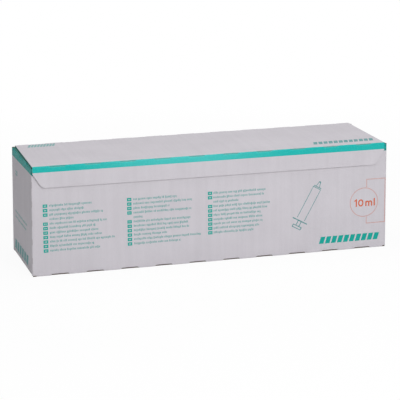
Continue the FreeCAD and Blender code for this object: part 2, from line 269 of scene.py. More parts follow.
class StageSizes(PropertyGroup):
    """Camera and light."""

    camera: FloatVectorProperty(
        name="Camera", description="Where the camera stands", default=(-0.56381, -1.98068, 0.57714),
        subtype="TRANSLATION", unit="LENGTH", size=3,
    )
    azimuth: FloatProperty(
        name="Azimuth", description="Camera's turn round the carton",
        default=math.radians(-15.887), subtype="ANGLE",
    )
    elevation: FloatProperty(
        name="Elevation", description="Camera's height as an angle",
        default=math.radians(14.114), subtype="ANGLE",
    )
    roll: FloatProperty(
        name="Roll", description="Camera's roll", default=math.radians(-0.526), subtype="ANGLE",
    )
    focal_pixels: FloatProperty(
        name="Focal length", description="In pixels of the photograph", default=1790.1,
    )
    photo_pixels: FloatProperty(
        name="Photograph", description="Width of the photograph in pixels", default=400.0,
    )
    sky: FloatProperty(name="Sky", description="Light from all round", default=0.27)
    front_lamp: FloatProperty(
        name="Front lamp", description="Power of the softbox in front", default=11.6, unit="POWER",
    )
    top_lamp: FloatProperty(
        name="Top lamp", description="Power of the softbox above", default=7.7, unit="POWER",
    )
    veil: FloatProperty(
        name="Veil", description="How white the floor looks to the camera", default=0.93,
    )


def fold_table(corners, start, size, pressed=None):
    """Samples of a folded sheet seen along its folds.

    The sheet's outer face runs from corner to corner, and each inner corner point is a right
    angle fold towards the sheet's inner side. A row holds the distance along the sharp outline,
    the point on the outer face and the point on the inner face. A fold's outer face is a quarter
    circle of the fold radius, and its inner face a quarter circle of the inside radius about the
    inner corner. On each side of it the inner points are drawn along over the fold's spread. A
    pressed fold is thinner there than the board.
    """
    corners = np.asarray(corners, float)
    steps = np.diff(corners, axis=0)
    spans = np.linalg.norm(steps, axis=1)
    headings = steps / spans[:, None]
    inward = np.vstack([headings[1:], -headings[-2:-1]])
    places = start + np.concatenate([[0], np.cumsum(spans)])
    thick = size.board
    crushed = pressed or thick
    spread = size.fold_spread
    rows = [np.hstack([places[:1], corners[0], corners[0] + inward[0] * thick])]
    turn = np.linspace(0, math.pi / 2, FOLD_SAMPLES)[:, None]
    for corner, place, before, after in zip(corners[1:-1], places[1:-1], headings, headings[1:]):
        arc = before * np.sin(turn) - after * np.cos(turn)
        outer = corner + (after - before) * size.fold + size.fold * arc
        inner = corner + (after - before) * (crushed + size.fold_inside) + size.fold_inside * arc
        along = place + size.fold * np.linspace(-1, 1, FOLD_SAMPLES)
        foot, end = corner - before * spread, corner + after * spread
        rows.append(np.hstack([place - spread, foot, foot + after * thick]))
        rows.extend(np.column_stack([along, outer, inner]))
        rows.append(np.hstack([place + spread, end, end - before * thick]))
    rows.append(np.hstack([places[-1:], corners[-1], corners[-1] + inward[-1] * thick]))
    return np.array(rows)


def on_sheet(table, along, depth, board):
    """The point of a folded sheet at a distance along it and a depth below its outer face."""
    share = depth / board
    columns = [np.interp(along, table[:, 0], table[:, k]) for k in (1, 2, 3, 4)]
    first = columns[0] + (columns[2] - columns[0]) * share
    second = columns[1] + (columns[3] - columns[1]) * share
    return first, second


def stations(low, high, cell, extra=()):
    """Grid lines from low to high no further apart than a cell, with some extra ones."""
    count = max(2, int(math.ceil(abs(high - low) / cell)) + 1)
    lines = np.concatenate([np.linspace(low, high, count), np.asarray(extra, float).ravel()])
    lines = np.sort(lines[(lines >= min(low, high)) & (lines <= max(low, high))])
    keep = np.concatenate([[True], np.diff(lines) > SAME_LINE])
    keep[-1] = True
    return lines[keep]


def fold_lines(place, size):
    """Grid lines across one fold."""
    reaches = (size.fold_spread, size.cut_reach, size.post_cut_reach)
    sides = [side * reach for reach in reaches for side in (-1, 1)]
    return place + np.concatenate([sides, size.fold * np.linspace(-1, 1, FOLD_SAMPLES)])


def cut_ends(starts, span, size):
    """Grid lines at the ends of a row of cuts, and where each cut is fully open."""
    inset = np.append(-HAIR, np.array(FADE_LINES) * size.cut_fade)
    starts = starts[:, None]
    return np.concatenate([starts + inset, starts + span - inset]).ravel()


def cut_share(place, starts, span, size):
    """1 in the middle of a cut and 0 outside it: the root of the distance from its nearer end."""
    inside = np.zeros_like(place)
    for begin in starts:
        distance = np.minimum(place - begin, begin + span - place)
        inside = np.maximum(inside, np.sqrt(np.clip(distance / size.cut_fade, 0, 1)))
    return inside


def torn_share(opened, tear=TEAR):
    """How torn the board is, from how open its cuts are."""
    return np.clip(opened * tear, 0, 1)


class Fold:
    """The board on both sides of one cut fold.

    Along is the distance over the fold, from a seam to the free end, and across is the place on
    the fold's line. An open cut draws the outer face in, in the two directions that drawn holds,
    and leaves the inner face where it is.
    """

    def __init__(self, size, corners, start, line, cuts, drawn, pressed=None):
        self.size = size
        self.table = fold_table(corners, start, size, pressed)
        self.line = line
        self.cuts = cuts
        self.drawn = drawn

    def near(self, along, line):
        """1 on a line and 0 beyond a cut's reach from it."""
        return np.clip(1 - np.abs(along - line) / self.size.cut_reach, 0, 1)

    def opened(self, across, along, line=None):
        """How open the cuts are at each place, on the fold's line or on another."""
        near = self.near(along, self.line if line is None else line)
        return near * cut_share(across, self.cuts, self.size.cut_length, self.size)

    def section(self, across, along, depth):
        """The two coordinates of a point in the plane across the fold."""
        size = self.size
        first, second = on_sheet(self.table, along, depth, size.board)
        notch = self.opened(across, along) * size.cut_depth * math.sqrt(0.5)
        notch = notch * (1 - depth / size.board)
        return first + self.drawn[0] * notch, second + self.drawn[1] * notch

    def torn(self, across, along):
        """How torn the board is at each place."""
        return torn_share(self.opened(across, along))

    def grid(self, ends, sides, limits=None, extra_along=(), extra_across=()):
        """Sheet coordinates of the board between two ends along it and two sides across it.

        The lines that run along it keep their share of its width, which limits gives for each
        distance along.
        """
        size = self.size
        lines = np.concatenate([fold_lines(self.line, size), extra_along])
        along = stations(*ends, size.cell, lines)
        lines = np.concatenate([cut_ends(self.cuts, size.cut_length, size), extra_across])
        across = stations(*sides, size.cell, lines)
        share = (across - sides[0]) / (sides[1] - sides[0])
        if limits:
            low, high = limits(along)
        else:
            low, high = (np.full(len(along), side) for side in sides)
        places = low[:, None] + (high - low)[:, None] * share[None, :]
        return places, np.repeat(along[:, None], len(across), axis=1)


def carried(points, closed):
    """A section carried along a path, as one closed shell.

    Points holds a station in each row and the section's corners in each column. Quads join each
    station to the next, round the section, and an open path gets a cap at each end.
    """
    count, corners = points.shape[:2]
    index = np.arange(count * corners).reshape(count, corners)
    ahead = np.roll(index, -1, axis=0) if closed else index[1:]
    here = index if closed else index[:-1]
    quads = np.stack(
        [here, np.roll(here, -1, axis=1), np.roll(ahead, -1, axis=1), ahead], axis=-1
    ).reshape(-1, 4)
    if not closed:
        quads = np.vstack([quads, index[0, ::-1][None, :], index[-1][None, :]])
    return points.reshape(-1, 3), quads


def grid_quads(grid):
    """Quads between the neighbours of a grid of point numbers."""
    corners = [grid[:-1, :-1], grid[:-1, 1:], grid[1:, 1:], grid[1:, :-1]]
    return np.stack(corners, axis=-1).reshape(-1, 4)


def outward(points, quads):
    """The same quads, turned round where their shell is inside out."""
    a, b, c, d = (points[quads[:, k]] for k in range(4))
    volume = np.einsum("ij,ij->", a, np.cross(b, c)) + np.einsum("ij,ij->", a, np.cross(c, d))
    return quads if volume > 0 else quads[:, ::-1]


def shell(points, quads, finish=OUTER, sheet=None, torn=None):
    """One closed shell with its finish numbers, sheet coordinates and torn share."""
    return {
        "points": points,
        "quads": outward(points, quads),
        "finish": np.full(len(quads), finish) if np.isscalar(finish) else finish,
        "sheet": points[:, :2] if sheet is None else sheet,
        "torn": np.zeros(len(points)) if torn is None else torn,
    }


def rim_loop(rows, columns):
    """Row and column numbers once round the rim of a grid."""
    low = np.arange(columns)
    right = np.arange(1, rows)
    high = np.arange(columns - 2, -1, -1)
    left = np.arange(rows - 2, 0, -1)
    row = np.concatenate([low * 0, right, high * 0 + rows - 1, left])
    column = np.concatenate([low, right * 0 + columns - 1, high, left * 0])
    return row, column


def rim_corners(grid):
    """Numbers of a grid's corners on its rim: low left, low right, high right and high left."""
    rows, columns = grid.shape
    return 0, columns - 1, columns + rows - 2, 2 * columns + rows - 3


def free_rim(grid):
    """The run of a flap's rim over its two sides and its free end."""
    low_left, low_right = rim_corners(grid)[:2]
    return low_right, low_left


def rim_inward(path, closed=True):
    """Inward directions along a rim that runs anticlockwise, lengthened in its corners."""
    if closed:
        steps = np.roll(path, -1, axis=0) - path
        before = np.roll(steps, 1, axis=0)
    else:
        steps = np.diff(path, axis=0)
        before = np.vstack([steps[:1], steps])
        steps = np.vstack([steps, steps[-1:]])
    unit = [s / np.maximum(np.linalg.norm(s, axis=1), 1e-12)[:, None] for s in (before, steps)]
    normals = [np.column_stack([-u[:, 1], u[:, 0]]) for u in unit]
    total = normals[0] + normals[1]
    squared = np.maximum(np.einsum("ij,ij->i", total, total), MITRE_LIMIT)
    return 2 * total / squared[:, None]


def slab(across, along, place, size, torn, waves, sheet=None):
    """A sheet of corrugated board as closed shells.

    The grid of sheet coordinates is placed once at the outer face and once at the inner one. The
    rim that joins them goes in below each liner, so that the cut edge looks open. Waves names the
    runs of the rim, from one of its stations to another, along which the wavy medium shows.
    """
    rows, columns = across.shape
    count = rows * columns
    depths = np.array([size.liner, size.liner, size.board - size.liner, size.board - size.liner])
    insets = np.array([0, size.recess, size.recess, 0])
    row, column = rim_loop(rows, columns)
    rim = np.column_stack([across[row, column], along[row, column]])
    rings = rim[None] + insets[:, None, None] * rim_inward(rim)[None]
    faces = [place(across, along, depth).reshape(-1, 3) for depth in (0.0, size.board)]
    ring_points = [
        place(ring[:, 0], ring[:, 1], depth).reshape(-1, 3) for ring, depth in zip(rings, depths)
    ]
    points = np.vstack(faces + ring_points)
    grid = np.arange(count).reshape(rows, columns)
    outer = grid_quads(grid)
    inner = outer[:, ::-1] + count
    edge = grid[row, column]
    loops = [edge] + [2 * count + k * len(edge) + np.arange(len(edge)) for k in range(4)]
    loops.append(edge + count)
    bands = [
        np.stack([np.roll(a, -1), a, b, np.roll(b, -1)], axis=-1)
        for a, b in zip(loops, loops[1:])
    ]
    quads = np.vstack([outer, inner] + bands)
    finish = np.repeat([OUTER, INNER, EDGE], [len(outer), len(inner), len(quads) - 2 * len(outer)])
    flat = np.column_stack([across.ravel(), along.ravel()])
    where = np.vstack([flat, flat] + [ring + depth for ring, depth in zip(rings, depths)])
    shares = np.zeros(len(points))
    shares[:count] = torn(across, along).ravel()
    shells = [shell(points, quads, finish, sheet(where) if sheet else where, shares)]
    for begin, end in waves:
        shells.append(medium(rim, begin, end, place, size))
    return shells


def medium(rim, begin, end, place, size):
    """The wavy sheet between the liners, along a run of the rim.

    The run is divided finely, and a thin rectangular section is carried along it. Its depth in
    the board is a sine of the distance across the flutes.
    """
    stop = end if end > begin else end + len(rim)
    run = rim[np.arange(begin, stop + 1) % len(rim)]
    walked = np.concatenate([[0], np.cumsum(np.linalg.norm(np.diff(run, axis=0), axis=1))])
    count = int(walked[-1] / (size.flute / WAVE_SAMPLES))
    distance = np.linspace(WAVE_END, walked[-1] - WAVE_END, count)
    line = np.column_stack([np.interp(distance, walked, run[:, k]) for k in (0, 1)])
    inward = rim_inward(line, closed=False)
    swing = (size.board - 2 * size.liner - size.medium) / 2 - WAVE_GAP
    middle = size.board / 2 + swing * np.sin(2 * math.pi * line[:, 0] / size.flute)
    sections = []
    for inset, offset in WAVE_SECTION:
        at = line + inward * inset * size.recess
        sections.append(place(at[:, 0], at[:, 1], middle + offset * size.medium))
    points, quads = carried(np.stack(sections, axis=1), closed=False)
    return shell(points, quads, EDGE, np.repeat(line, len(WAVE_SECTION), axis=0))


def leaned(points):
    """Moves the left end's foot outwards, by a lean that grows downwards and dies away inwards."""
    panel = bpy.context.scene.carton_sizes
    down = np.clip(1 - points[:, 2] / LID_HIGH.z, 0, 1)
    near = np.clip(1 - (points[:, 0] - WALLS_LOW.x) / panel.lean_reach, 0, 1) ** 2
    moved = points.copy()
    moved[:, 0] -= panel.foot_lean * down * near
    return moved


def added_object(name, data):
    """A new object of the scene that shows a mesh, a lamp or a camera."""
    found = bpy.data.objects.new(name, data)
    bpy.context.scene.collection.objects.link(found)
    return found


def make_piece(name, shells, finishes, slot, worn=1.0):
    """One object from closed shells, with the sheet coordinates as its UV map.

    The last argument is how plainly the dark marks of its folds show, from 0 to 1: board in the open
    cuts, darkened with painted shade.
    """
    starts = np.cumsum([0] + [len(s["points"]) for s in shells])
    points = leaned(np.vstack([s["points"] for s in shells]))
    quads = np.vstack([s["quads"] + start for s, start in zip(shells, starts)])
    mesh = bpy.data.meshes.new(name)
    mesh.from_pydata(points.tolist(), [], quads.tolist())
    if mesh.validate():
        raise RuntimeError(f"{name} has broken faces")
    corners = np.zeros(len(mesh.loops), np.int32)
    mesh.loops.foreach_get("vertex_index", corners)
    sheet = np.vstack([s["sheet"] for s in shells])[corners]
    mesh.uv_layers.new(name=SHEET).data.foreach_set("uv", sheet.astype(np.float32).ravel())
    torn = np.concatenate([s["torn"] for s in shells]).astype(np.float32)
    for key, values in ((TORN, torn), (WORN, np.full(len(points), worn, np.float32))):
        mesh.attributes.new(key, "FLOAT", "POINT").data.foreach_set("value", values)
    for finish in finishes:
        mesh.materials.append(bpy.data.materials[finish])
    numbers = np.concatenate([s["finish"] for s in shells]).astype(np.int32)
    mesh.polygons.foreach_set("material_index", numbers)
    mesh.polygons.foreach_set("use_smooth", np.ones(len(quads), bool))
    mesh.set_sharp_from_angle(angle=SHARP_ANGLE)
    mesh.update()
    piece = added_object(name, mesh)
    return piece


def fixed_board(name, shells, worn):
    """One piece of white-lined board that stays with the carton and stands for its walls."""
    piece = make_piece(name, shells, BOARD_FINISHES, "white_board", worn)
    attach(piece, "carton")
    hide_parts("carton_body")


class Blank:
    """Places that all the panels share, worked out from the frame and the sizes.

    Around is the distance round the walls, from the tip of the glue tab over the right end, the
    front, the left end and the back. Up is the height on the walls, and runs on over the back
    fold across the lid and over the front fold down the flap.
    """

    def __init__(self, scene):
        size, panel = scene.board_sizes, scene.carton_sizes
        self.size = size
        self.panel = panel
        self.half = WALLS_HIGH.x
        self.front = WALLS_LOW.y
        self.back = WALLS_HIGH.y
        self.middle = (self.front + self.back) / 2
        self.top = LID_HIGH.z
        self.rim = LID_LOW.z - panel.lid_gap
        self.tuck_front = self.front + size.board + panel.tuck
        self.tuck_back = self.back - size.board - panel.tuck
        self.tab_face = self.back - size.board - HAIR
        corners = [
            (self.half - size.board - panel.tab_width, self.tab_face),
            (self.half, self.tab_face),
            (self.half, self.front),
            (-self.half, self.front),
            (-self.half, self.back),
            (self.half, self.back),
        ]
        self.table = fold_table(corners, 0.0, size)
        spans = np.linalg.norm(np.diff(np.array(corners), axis=0), axis=1)
        self.turns = np.cumsum(spans)[:4]
        self.total = spans.sum()
        self.lid_depth = self.back - FLAP_LOW.y
        self.lid_left_front = LID_LOW.x
        self.lid_left_back = LID_LOW.x + panel.left_skew
        self.lid_right = LID_HIGH.x
        self.flap_fold = self.top + self.back - FLAP_LOW.y
        margin = size.cut_margin
        cut = (size.cut_length, size.cut_pitch)
        post_cut = (size.post_cut_length, size.post_cut_pitch)
        self.long_cuts = self.cut_row(2 * self.half, 2 * margin, *cut) - self.half
        self.end_cuts = self.cut_row(self.back - self.front, margin, *cut) + self.front
        self.post_cuts = self.cut_row(self.rim, margin, *post_cut)

    @staticmethod
    def cut_row(span, margin, cut, pitch):
        """Starts of the cuts in a fold, centred along it, with at least a margin left uncut."""
        count = max(2, int((span - margin - cut) // pitch) + 1)
        return (span - pitch * (count - 1) - cut) / 2 + pitch * np.arange(count)

    def around_front(self, x):
        """Distance round the walls of a place on the front."""
        return self.turns[1] + self.half - x

    def around_back(self, x):
        """Distance round the walls of a place on the back."""
        return self.turns[3] + self.half + x

    def lid_sheet(self, where):
        """Sheet coordinates on the lid and its flap, whose places in x go round the walls."""
        return np.column_stack([self.around_back(where[:, 0]), where[:, 1]])

    def swell_out(self, share, height, low, high):
        """A panel's outward bow: an arch along it times an arch between two heights."""
        arch = np.clip(4 * share * (1 - share), 0, 1)
        rise = np.clip((height - low) / (high - low), 0, 1)
        return self.panel.swell * arch * np.sin(math.pi * rise) ** 2

    def lid_bow(self, across, forward):
        """The lid's upward bow at a place along it and a distance from the back fold."""
        share = np.clip((across + self.half) / (2 * self.half), 0, 1)
        return self.swell_out(share, forward, CALM, self.lid_depth - CALM)

    def wall(self, around, up, depth):
        """A point of the walls: the folded outline in plan, carried upright, with its bows."""
        x, y = on_sheet(self.table, around, depth, self.size.board)
        first, second, third, fourth = self.turns
        high = self.top - 2 * self.panel.top_seam

        def bow(begin, end, bow_top):
            share = np.clip((around - begin) / (end - begin), 0, 1)
            return self.swell_out(share, up, CALM, bow_top)

        y = y - bow(second, third, FLAP_LOW.z - BOW_END)
        y = y + bow(fourth, self.total, high)
        x = x - bow(third, fourth, high)
        x = x + bow(first, second, high)
        notch = self.post_notch(around, up) * (1 - depth / self.size.board) * math.sqrt(0.5)
        x = x - notch * np.sign(x)
        y = y - notch * np.sign(y - self.middle)
        return np.stack(np.broadcast_arrays(x, y, up), axis=-1)

    def post_notch(self, around, up):
        """How deep the cuts of the upright folds go at each place."""
        near = np.zeros_like(around)
        for turn in self.turns[1:]:
            share = 1 - np.abs(around - turn) / self.size.post_cut_reach
            near = np.maximum(near, np.clip(share, 0, 1))
        opened = cut_share(up, self.post_cuts, self.size.post_cut_length, self.size)
        return near * opened * self.size.post_cut_depth

    def post_torn(self, around, up):
        """Torn share on the upright folds."""
        return torn_share(self.post_notch(around, up) / self.size.post_cut_depth)


def ramp(places, values):
    """Values that step from one to the next at places, over a tenth of a millimetre."""
    xs = np.array([place + side * HAIR for place in places for side in (-1, 1)])
    ys = np.repeat(values, 2)[1:-1]
    return xs, ys


def build_walls(blank):
    """The four walls and the glue tab: one strip of board, upright along a folded outline.

    Its lower and upper edges step where the board of a flap or of the lid takes over, and both
    close in along the glue tab's taper.
    """
    size, panel = blank.size, blank.panel
    first, second, third, fourth = blank.turns
    root = first - TAB_ROOT
    right_flaps = (
        first + blank.tab_face - blank.tuck_back, first + blank.tab_face - blank.tuck_front
    )
    left_flaps = (third + blank.tuck_front - blank.front, third + blank.tuck_back - blank.front)
    lid_span = (blank.around_back(blank.lid_left_back), blank.around_back(blank.lid_right))
    front_span = (second + panel.bottom_inset, third - panel.bottom_inset)
    back_span = (fourth + panel.bottom_inset, blank.total - panel.bottom_inset)
    foot, rim = size.board, blank.rim
    long_foot = panel.foot_seam
    end_foot = size.board + END_SEAM * panel.foot_seam
    end_top = rim - panel.foot_seam
    tab_low = 2 * size.board + panel.tuck
    tab_high = rim - size.board - panel.tuck
    low_x, low_y = ramp(
        [root, *right_flaps, *front_span, *left_flaps, *back_span],
        [tab_low, foot, end_foot, foot, long_foot, foot, end_foot, foot, long_foot, foot],
    )
    high_x, high_y = ramp(
        [root, *right_flaps, *left_flaps, *lid_span],
        [tab_high, rim, end_top, rim, end_top, rim, blank.top - panel.top_seam, rim],
    )
    around = stations(0, blank.total, size.cell, np.concatenate(
        [low_x, high_x] + [fold_lines(turn, size) for turn in blank.turns]
    ))
    taper = np.interp(around, [0, root - TAPER_END], [panel.tab_taper, 0])
    low = np.interp(around, low_x, low_y) + taper
    high = np.interp(around, high_x, high_y) - taper
    cuts = cut_ends(blank.post_cuts, size.post_cut_length, size)
    heights = stations(foot, rim, size.cell, cuts)
    share = (heights - foot) / (rim - foot)
    up = low[None, :] + (high - low)[None, :] * share[:, None]
    across = np.repeat(around[None, :], len(share), axis=0)
    front = np.flatnonzero((around > second + WAVE_MARGIN) & (around < third - WAVE_MARGIN))
    high_left = rim_corners(up)[3]
    waves = [(high_left - front[-1], high_left - front[0])]
    shells = slab(across, up, blank.wall, size, blank.post_torn, waves)
    fixed_board("board_walls", shells, DARK_MARKS_WALLS)


def end_flap(blank, side, upper):
    """Shells of a dust flap above, or an inner bottom flap below, folded in from an end wall.

    Across is the place from front to back, and along is the distance past the fold.
    """
    size, panel = blank.size, blank.panel
    reach = panel.dust_reach if upper else panel.inner_reach
    height = blank.rim if upper else size.board
    seam = panel.foot_seam if upper else END_SEAM * panel.foot_seam
    way = 1 if upper else -1
    wall = side * blank.half
    corners = [(wall, height - way * seam), (wall, height), (wall - side * reach, height)]
    fold = Fold(size, corners, -seam, 0, blank.end_cuts, (-side, -1))
    low, high = sides = (blank.tuck_front, blank.tuck_back)
    taper = panel.dust_taper

    def place(across, along, depth):
        x, z = fold.section(across, along, depth)
        return np.stack(np.broadcast_arrays(x, across, z), axis=-1)

    def sheet(where):
        if side > 0:
            around = blank.turns[0] + blank.tab_face - where[:, 0]
        else:
            around = blank.turns[2] + where[:, 0] - blank.front
        return np.column_stack([around, height + way * where[:, 1]])

    def limits(along):
        cut_off = np.clip((along - (reach - taper)) / taper, 0, 1) * taper
        return low + cut_off, high - cut_off

    across, along = fold.grid((-seam, reach), sides, limits if upper else None, [reach - taper])
    return slab(across, along, place, size, fold.torn, [free_rim(across)], sheet)


def build_end_flaps(blank):
    """Dust flaps above and inner bottom flaps below."""
    kinds = ((True, "dust_flap", 0.0), (False, "inner_bottom_flap", DARK_MARKS_INNER_FLAPS))
    for upper, label, worn in kinds:
        for side, end in ((-1, "left"), (1, "right")):
            fixed_board(f"{label}_{end}", end_flap(blank, side, upper), worn)


def bottom_flap(blank, side):
    """Shells of an outer bottom flap, folded in from a long wall to the middle seam.

    Across is the place from left to right, and along is the distance past the fold. Each end
    steps out beside the fold to a small ear.
    """
    size, panel = blank.size, blank.panel
    wall = blank.front if side < 0 else blank.back
    tip = blank.middle + side * panel.seam / 2
    seam = panel.foot_seam
    corners = [(wall, seam), (wall, 0), (tip, 0)]
    fold = Fold(size, corners, -seam, 0, blank.long_cuts, (-side, 1))
    ear = panel.bottom_inset - size.board / 3
    right = blank.half - panel.bottom_inset

    def place(across, along, depth):
        y, z = fold.section(across, along, depth)
        return np.stack(np.broadcast_arrays(across, y, z), axis=-1)

    def torn(across, along):
        # painted shadow in the gap at each end of the fold, drawn as a dark mark
        shaded_end = fold.near(along, 0) * (right - np.abs(across) < size.corner_shadow)
        return torn_share(np.maximum(fold.opened(across, along), shaded_end))

    def sheet(where):
        around = blank.around_front if side < 0 else blank.around_back
        return np.column_stack([around(where[:, 0]), -where[:, 1]])

    def limits(along):
        inset = panel.bottom_inset + np.interp(along, EAR_LINES, [0, -1, 0]) * ear
        return -blank.half + inset, blank.half - inset

    # grid lines at the ends of the painted corner shadow
    worn = right - size.corner_shadow + np.array([-2, 2]) * HAIR
    across, along = fold.grid(
        (-seam, abs(wall - tip)), (-right, right), limits, EAR_LINES, np.append(worn, -worn)
    )
    return slab(across, along, place, size, torn, [free_rim(across)], sheet)


def build_bottom_flaps(blank):
    """The two outer bottom flaps."""
    for side, end in ((-1, "front"), (1, "back")):
        fixed_board(f"bottom_flap_{end}", bottom_flap(blank, side), DARK_MARKS_BOTTOM_FLAPS)


def build_lid(blank):
    """The lid with the top of the back wall that it bends on.

    Across is the place from left to right. Along is the height on the back wall and runs on over
    the fold across the lid.
    """
    size, panel, top = blank.size, blank.panel, blank.top
    start = top - panel.top_seam
    front_seam = FLAP_LOW.y + panel.top_seam
    end = top + blank.back - front_seam
    corners = [(blank.back, start), (blank.back, top), (front_seam, top)]
    fold = Fold(size, corners, start, top, blank.long_cuts, (-1, -1))

    def place(across, along, depth):
        y, z = fold.section(across, along, depth)
        bow = blank.lid_bow(across, along - top)
        return np.stack(np.broadcast_arrays(across, y, z + bow), axis=-1)

    def limits(along):
        share = np.clip((along - top) / blank.lid_depth, 0, 1)
        left = blank.lid_left_back + (blank.lid_left_front - blank.lid_left_back) * share
        return left, np.full(len(along), blank.lid_right)

    across, along = fold.grid((start, end), (blank.lid_left_back, blank.lid_right), limits)
    low_left, low_right, high_right, high_left = rim_corners(across)
    waves = [(low_right, high_right), (high_left, low_left)]
    shells = slab(across, along, place, size, fold.torn, waves, blank.lid_sheet)
    # the lid's raw edges get the dark teal edge: painted shade
    finishes = (*BOARD_FINISHES[:EDGE], "inked_edge")
    piece = make_piece("board_lid", shells, finishes, "lid_board", DARK_MARKS_LID)
    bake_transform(piece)
    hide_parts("lid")


def flap_limits(blank, down, height):
    """Left and right limits of the front flap: straight shoulders, leaning sides, round corners.

    A corner is an arc that touches the leaning side and the free edge.
    """
    panel = blank.panel
    lean = math.atan2(panel.flap_slant, height - panel.flap_shoulder)
    radius = panel.flap_corner
    slant = np.clip(down - panel.flap_shoulder, 0, None) * math.tan(lean)
    turn = math.pi / 2 - lean
    tangent = radius * math.tan(turn / 2)
    centre_in = panel.flap_slant + tangent
    rise = np.clip(down - (height - radius), 0, radius)
    arc = centre_in - np.sqrt(np.maximum(radius**2 - rise**2, 0))
    inset = np.where(down > height - tangent * math.cos(lean), arc, slant)
    skew = -np.clip(down / blank.lid_depth, None, 0) * panel.left_skew
    return blank.lid_left_front + skew + inset, blank.lid_right - inset


def build_front_flap(blank):
    """The front flap with the front edge of the lid that it bends on.

    Across is the place from left to right. Along is the lid's distance along, which runs on over
    the front fold down the flap. The flap gets shorter towards its left end.
    """
    size, panel, line = blank.size, blank.panel, blank.flap_fold
    seam = FLAP_LOW.y + panel.top_seam
    start = line - panel.top_seam
    end = line + blank.top - FLAP_LOW.z
    corners = [(seam, blank.top), (FLAP_LOW.y, blank.top), (FLAP_LOW.y, FLAP_LOW.z)]
    fold = Fold(size, corners, start, line, blank.long_cuts, (1, -1), size.pressed)
    # where the flap's dark marks lie, a little over on the lid; they are partly painted shade of the
    # open slits
    marks_line = line - size.cut_shift

    def place(across, along, depth):
        y, z = fold.section(across, along, depth)
        return np.stack(np.broadcast_arrays(across, y, z), axis=-1)

    def torn(across, along):
        return torn_share(fold.opened(across, along, marks_line), FLAP_TEAR)

    def limits(along):
        return flap_limits(blank, along - line, end - line)

    turn = np.linspace(0, math.pi / 2, CORNER_SAMPLES)
    rounding = end - panel.flap_corner * (1 - np.cos(turn))
    across, along = fold.grid(
        (start, end), (blank.lid_left_front, blank.lid_right), limits,
        np.concatenate([fold_lines(marks_line, size), rounding, [line + panel.flap_shoulder]]),
    )
    from_right = (blank.lid_right - across) / (blank.lid_right - blank.lid_left_front)
    shorter = from_right * panel.flap_rise * np.clip((along - line) / (end - line), 0, 1)
    waves = [free_rim(across)]
    shells = slab(across, along - shorter, place, size, torn, waves, blank.lid_sheet)
    # the flap's raw edges get the pale edge: painted light
    finishes = (*BOARD_FINISHES[:EDGE], "pale_edge")
    piece = make_piece("board_front_flap", shells, finishes, "flap_board", DARK_MARKS_FRONT_FLAP)
    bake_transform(piece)
    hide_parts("front_flap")


# All the print's sizes are in millimetres on its panel.
# where a column's squares and bars start, which row runs on with no square, and where rows end
COLUMNS = [
    (12.1, 19.3, 3, (68, 59, 81, 47, 85, 72, 75, 79, 94, 70, 77)),
    (109.2, 116.6, 4, (168, 186, 159, 185, 127, 185, 181, 182, 156, 196, 172)),
    (205.0, 211.6, 2, (275, 273, 242, 281, 277, 269, 271, 271, 267, 260)),
]
FIRST_ROW = 45.7
ROW_PITCH = 5.23
SQUARE = (5.2, 3.9)
# the two pale marks on a square: where they start on it, and their size
CENTRE_STARTS = (1.55, 3.0)
CENTRE = (0.65, 1.4)
# rows of bars on the left end: start, end and middle line
LEFT_ROWS = [(22, 36, 25.5), (22, 34, 28.8), (19, 92, 74.0), (19, 86, 80.5)]

# bars: their height, gap and range of widths, the shares of the height that they go up and down
# from their row's middle line, and how many stand in the first and the next groups
BAR_HEIGHT = 2.0
BAR_GAP = 0.45
BAR_WIDTHS = (0.85, 1.35)
BAR_UP = (0.5, 0.5, 0.5, 0.8)
BAR_DOWN = (0.5, 0.5, 0.5, 0.5, 0.8)
FIRST_GROUP = (3, 11)
NEXT_GROUP = (2, 11)

# slanted blocks: lean to the right for their height, and the ink's share of their pitch
SLANT = 0.3
BLOCK_SHARE = 0.76

# capacity mark: the ring, its bracket's left, top, right and bottom, and their line
RING_CENTRE = (397.2, 71.0)
RING_RADIUS = 17.3
BRACKET = (400.3, 43.5, 423.6, 96.8)
FINE_LINE = 0.9
# the line on which figures and letters stand, their heights and the width of their strokes
BASE = 76.0
FIGURE_HEIGHT = 8.7
LETTER_HEIGHT = 6.1
TALL_EXTRA = 0.4
FIGURE_LINE = 1.5
ONE_X = (385.2, 387.6)
NOUGHT_X, NOUGHT_RADIUS = 393.2, 2.6
ARCHES_X, ARCH_RADIUS = 399.7, 1.8
TALL_X = 410.2
# how much higher each stroke lies than the one before it, where they cross
FIGURE_STEP = 0.008 * MM
OUTLINE_STEP = 0.006 * MM

OUTLINE_LEAN = math.radians(29)
OUTLINE_FOOT = (312.5, 95.8)


class Spot:
    """A panel to print on. Called, it turns places in millimetres and a lift into points."""

    def __init__(self, blank, ink):
        self.blank = blank
        self.ink = ink


class FrontSpot(Spot):
    """The front: right from its left edge and down from the top."""

    def __call__(self, right, down, lift):
        blank = self.blank
        around = blank.around_front(right * MM - blank.half)
        point = blank.wall(around, blank.top - down * MM, 0.0)
        point[..., 1] = point[..., 1] - lift
        return point


class LeftSpot(Spot):
    """The left end: right from its back edge and down from the top."""

    def __call__(self, right, down, lift):
        blank = self.blank
        around = blank.turns[2] + blank.back - blank.front - right * MM
        point = blank.wall(around, blank.top - down * MM, 0.0)
        point[..., 0] = point[..., 0] - lift
        return point


class LidSpot(Spot):
    """The lid: right from the left edge and forward from the back fold."""

    def __call__(self, right, forward, lift):
        blank = self.blank
        x = right * MM - blank.half
        bow = blank.lid_bow(x, forward * MM)
        places = (x, blank.back - forward * MM, blank.top + bow + lift)
        return np.stack(np.broadcast_arrays(*places), axis=-1)


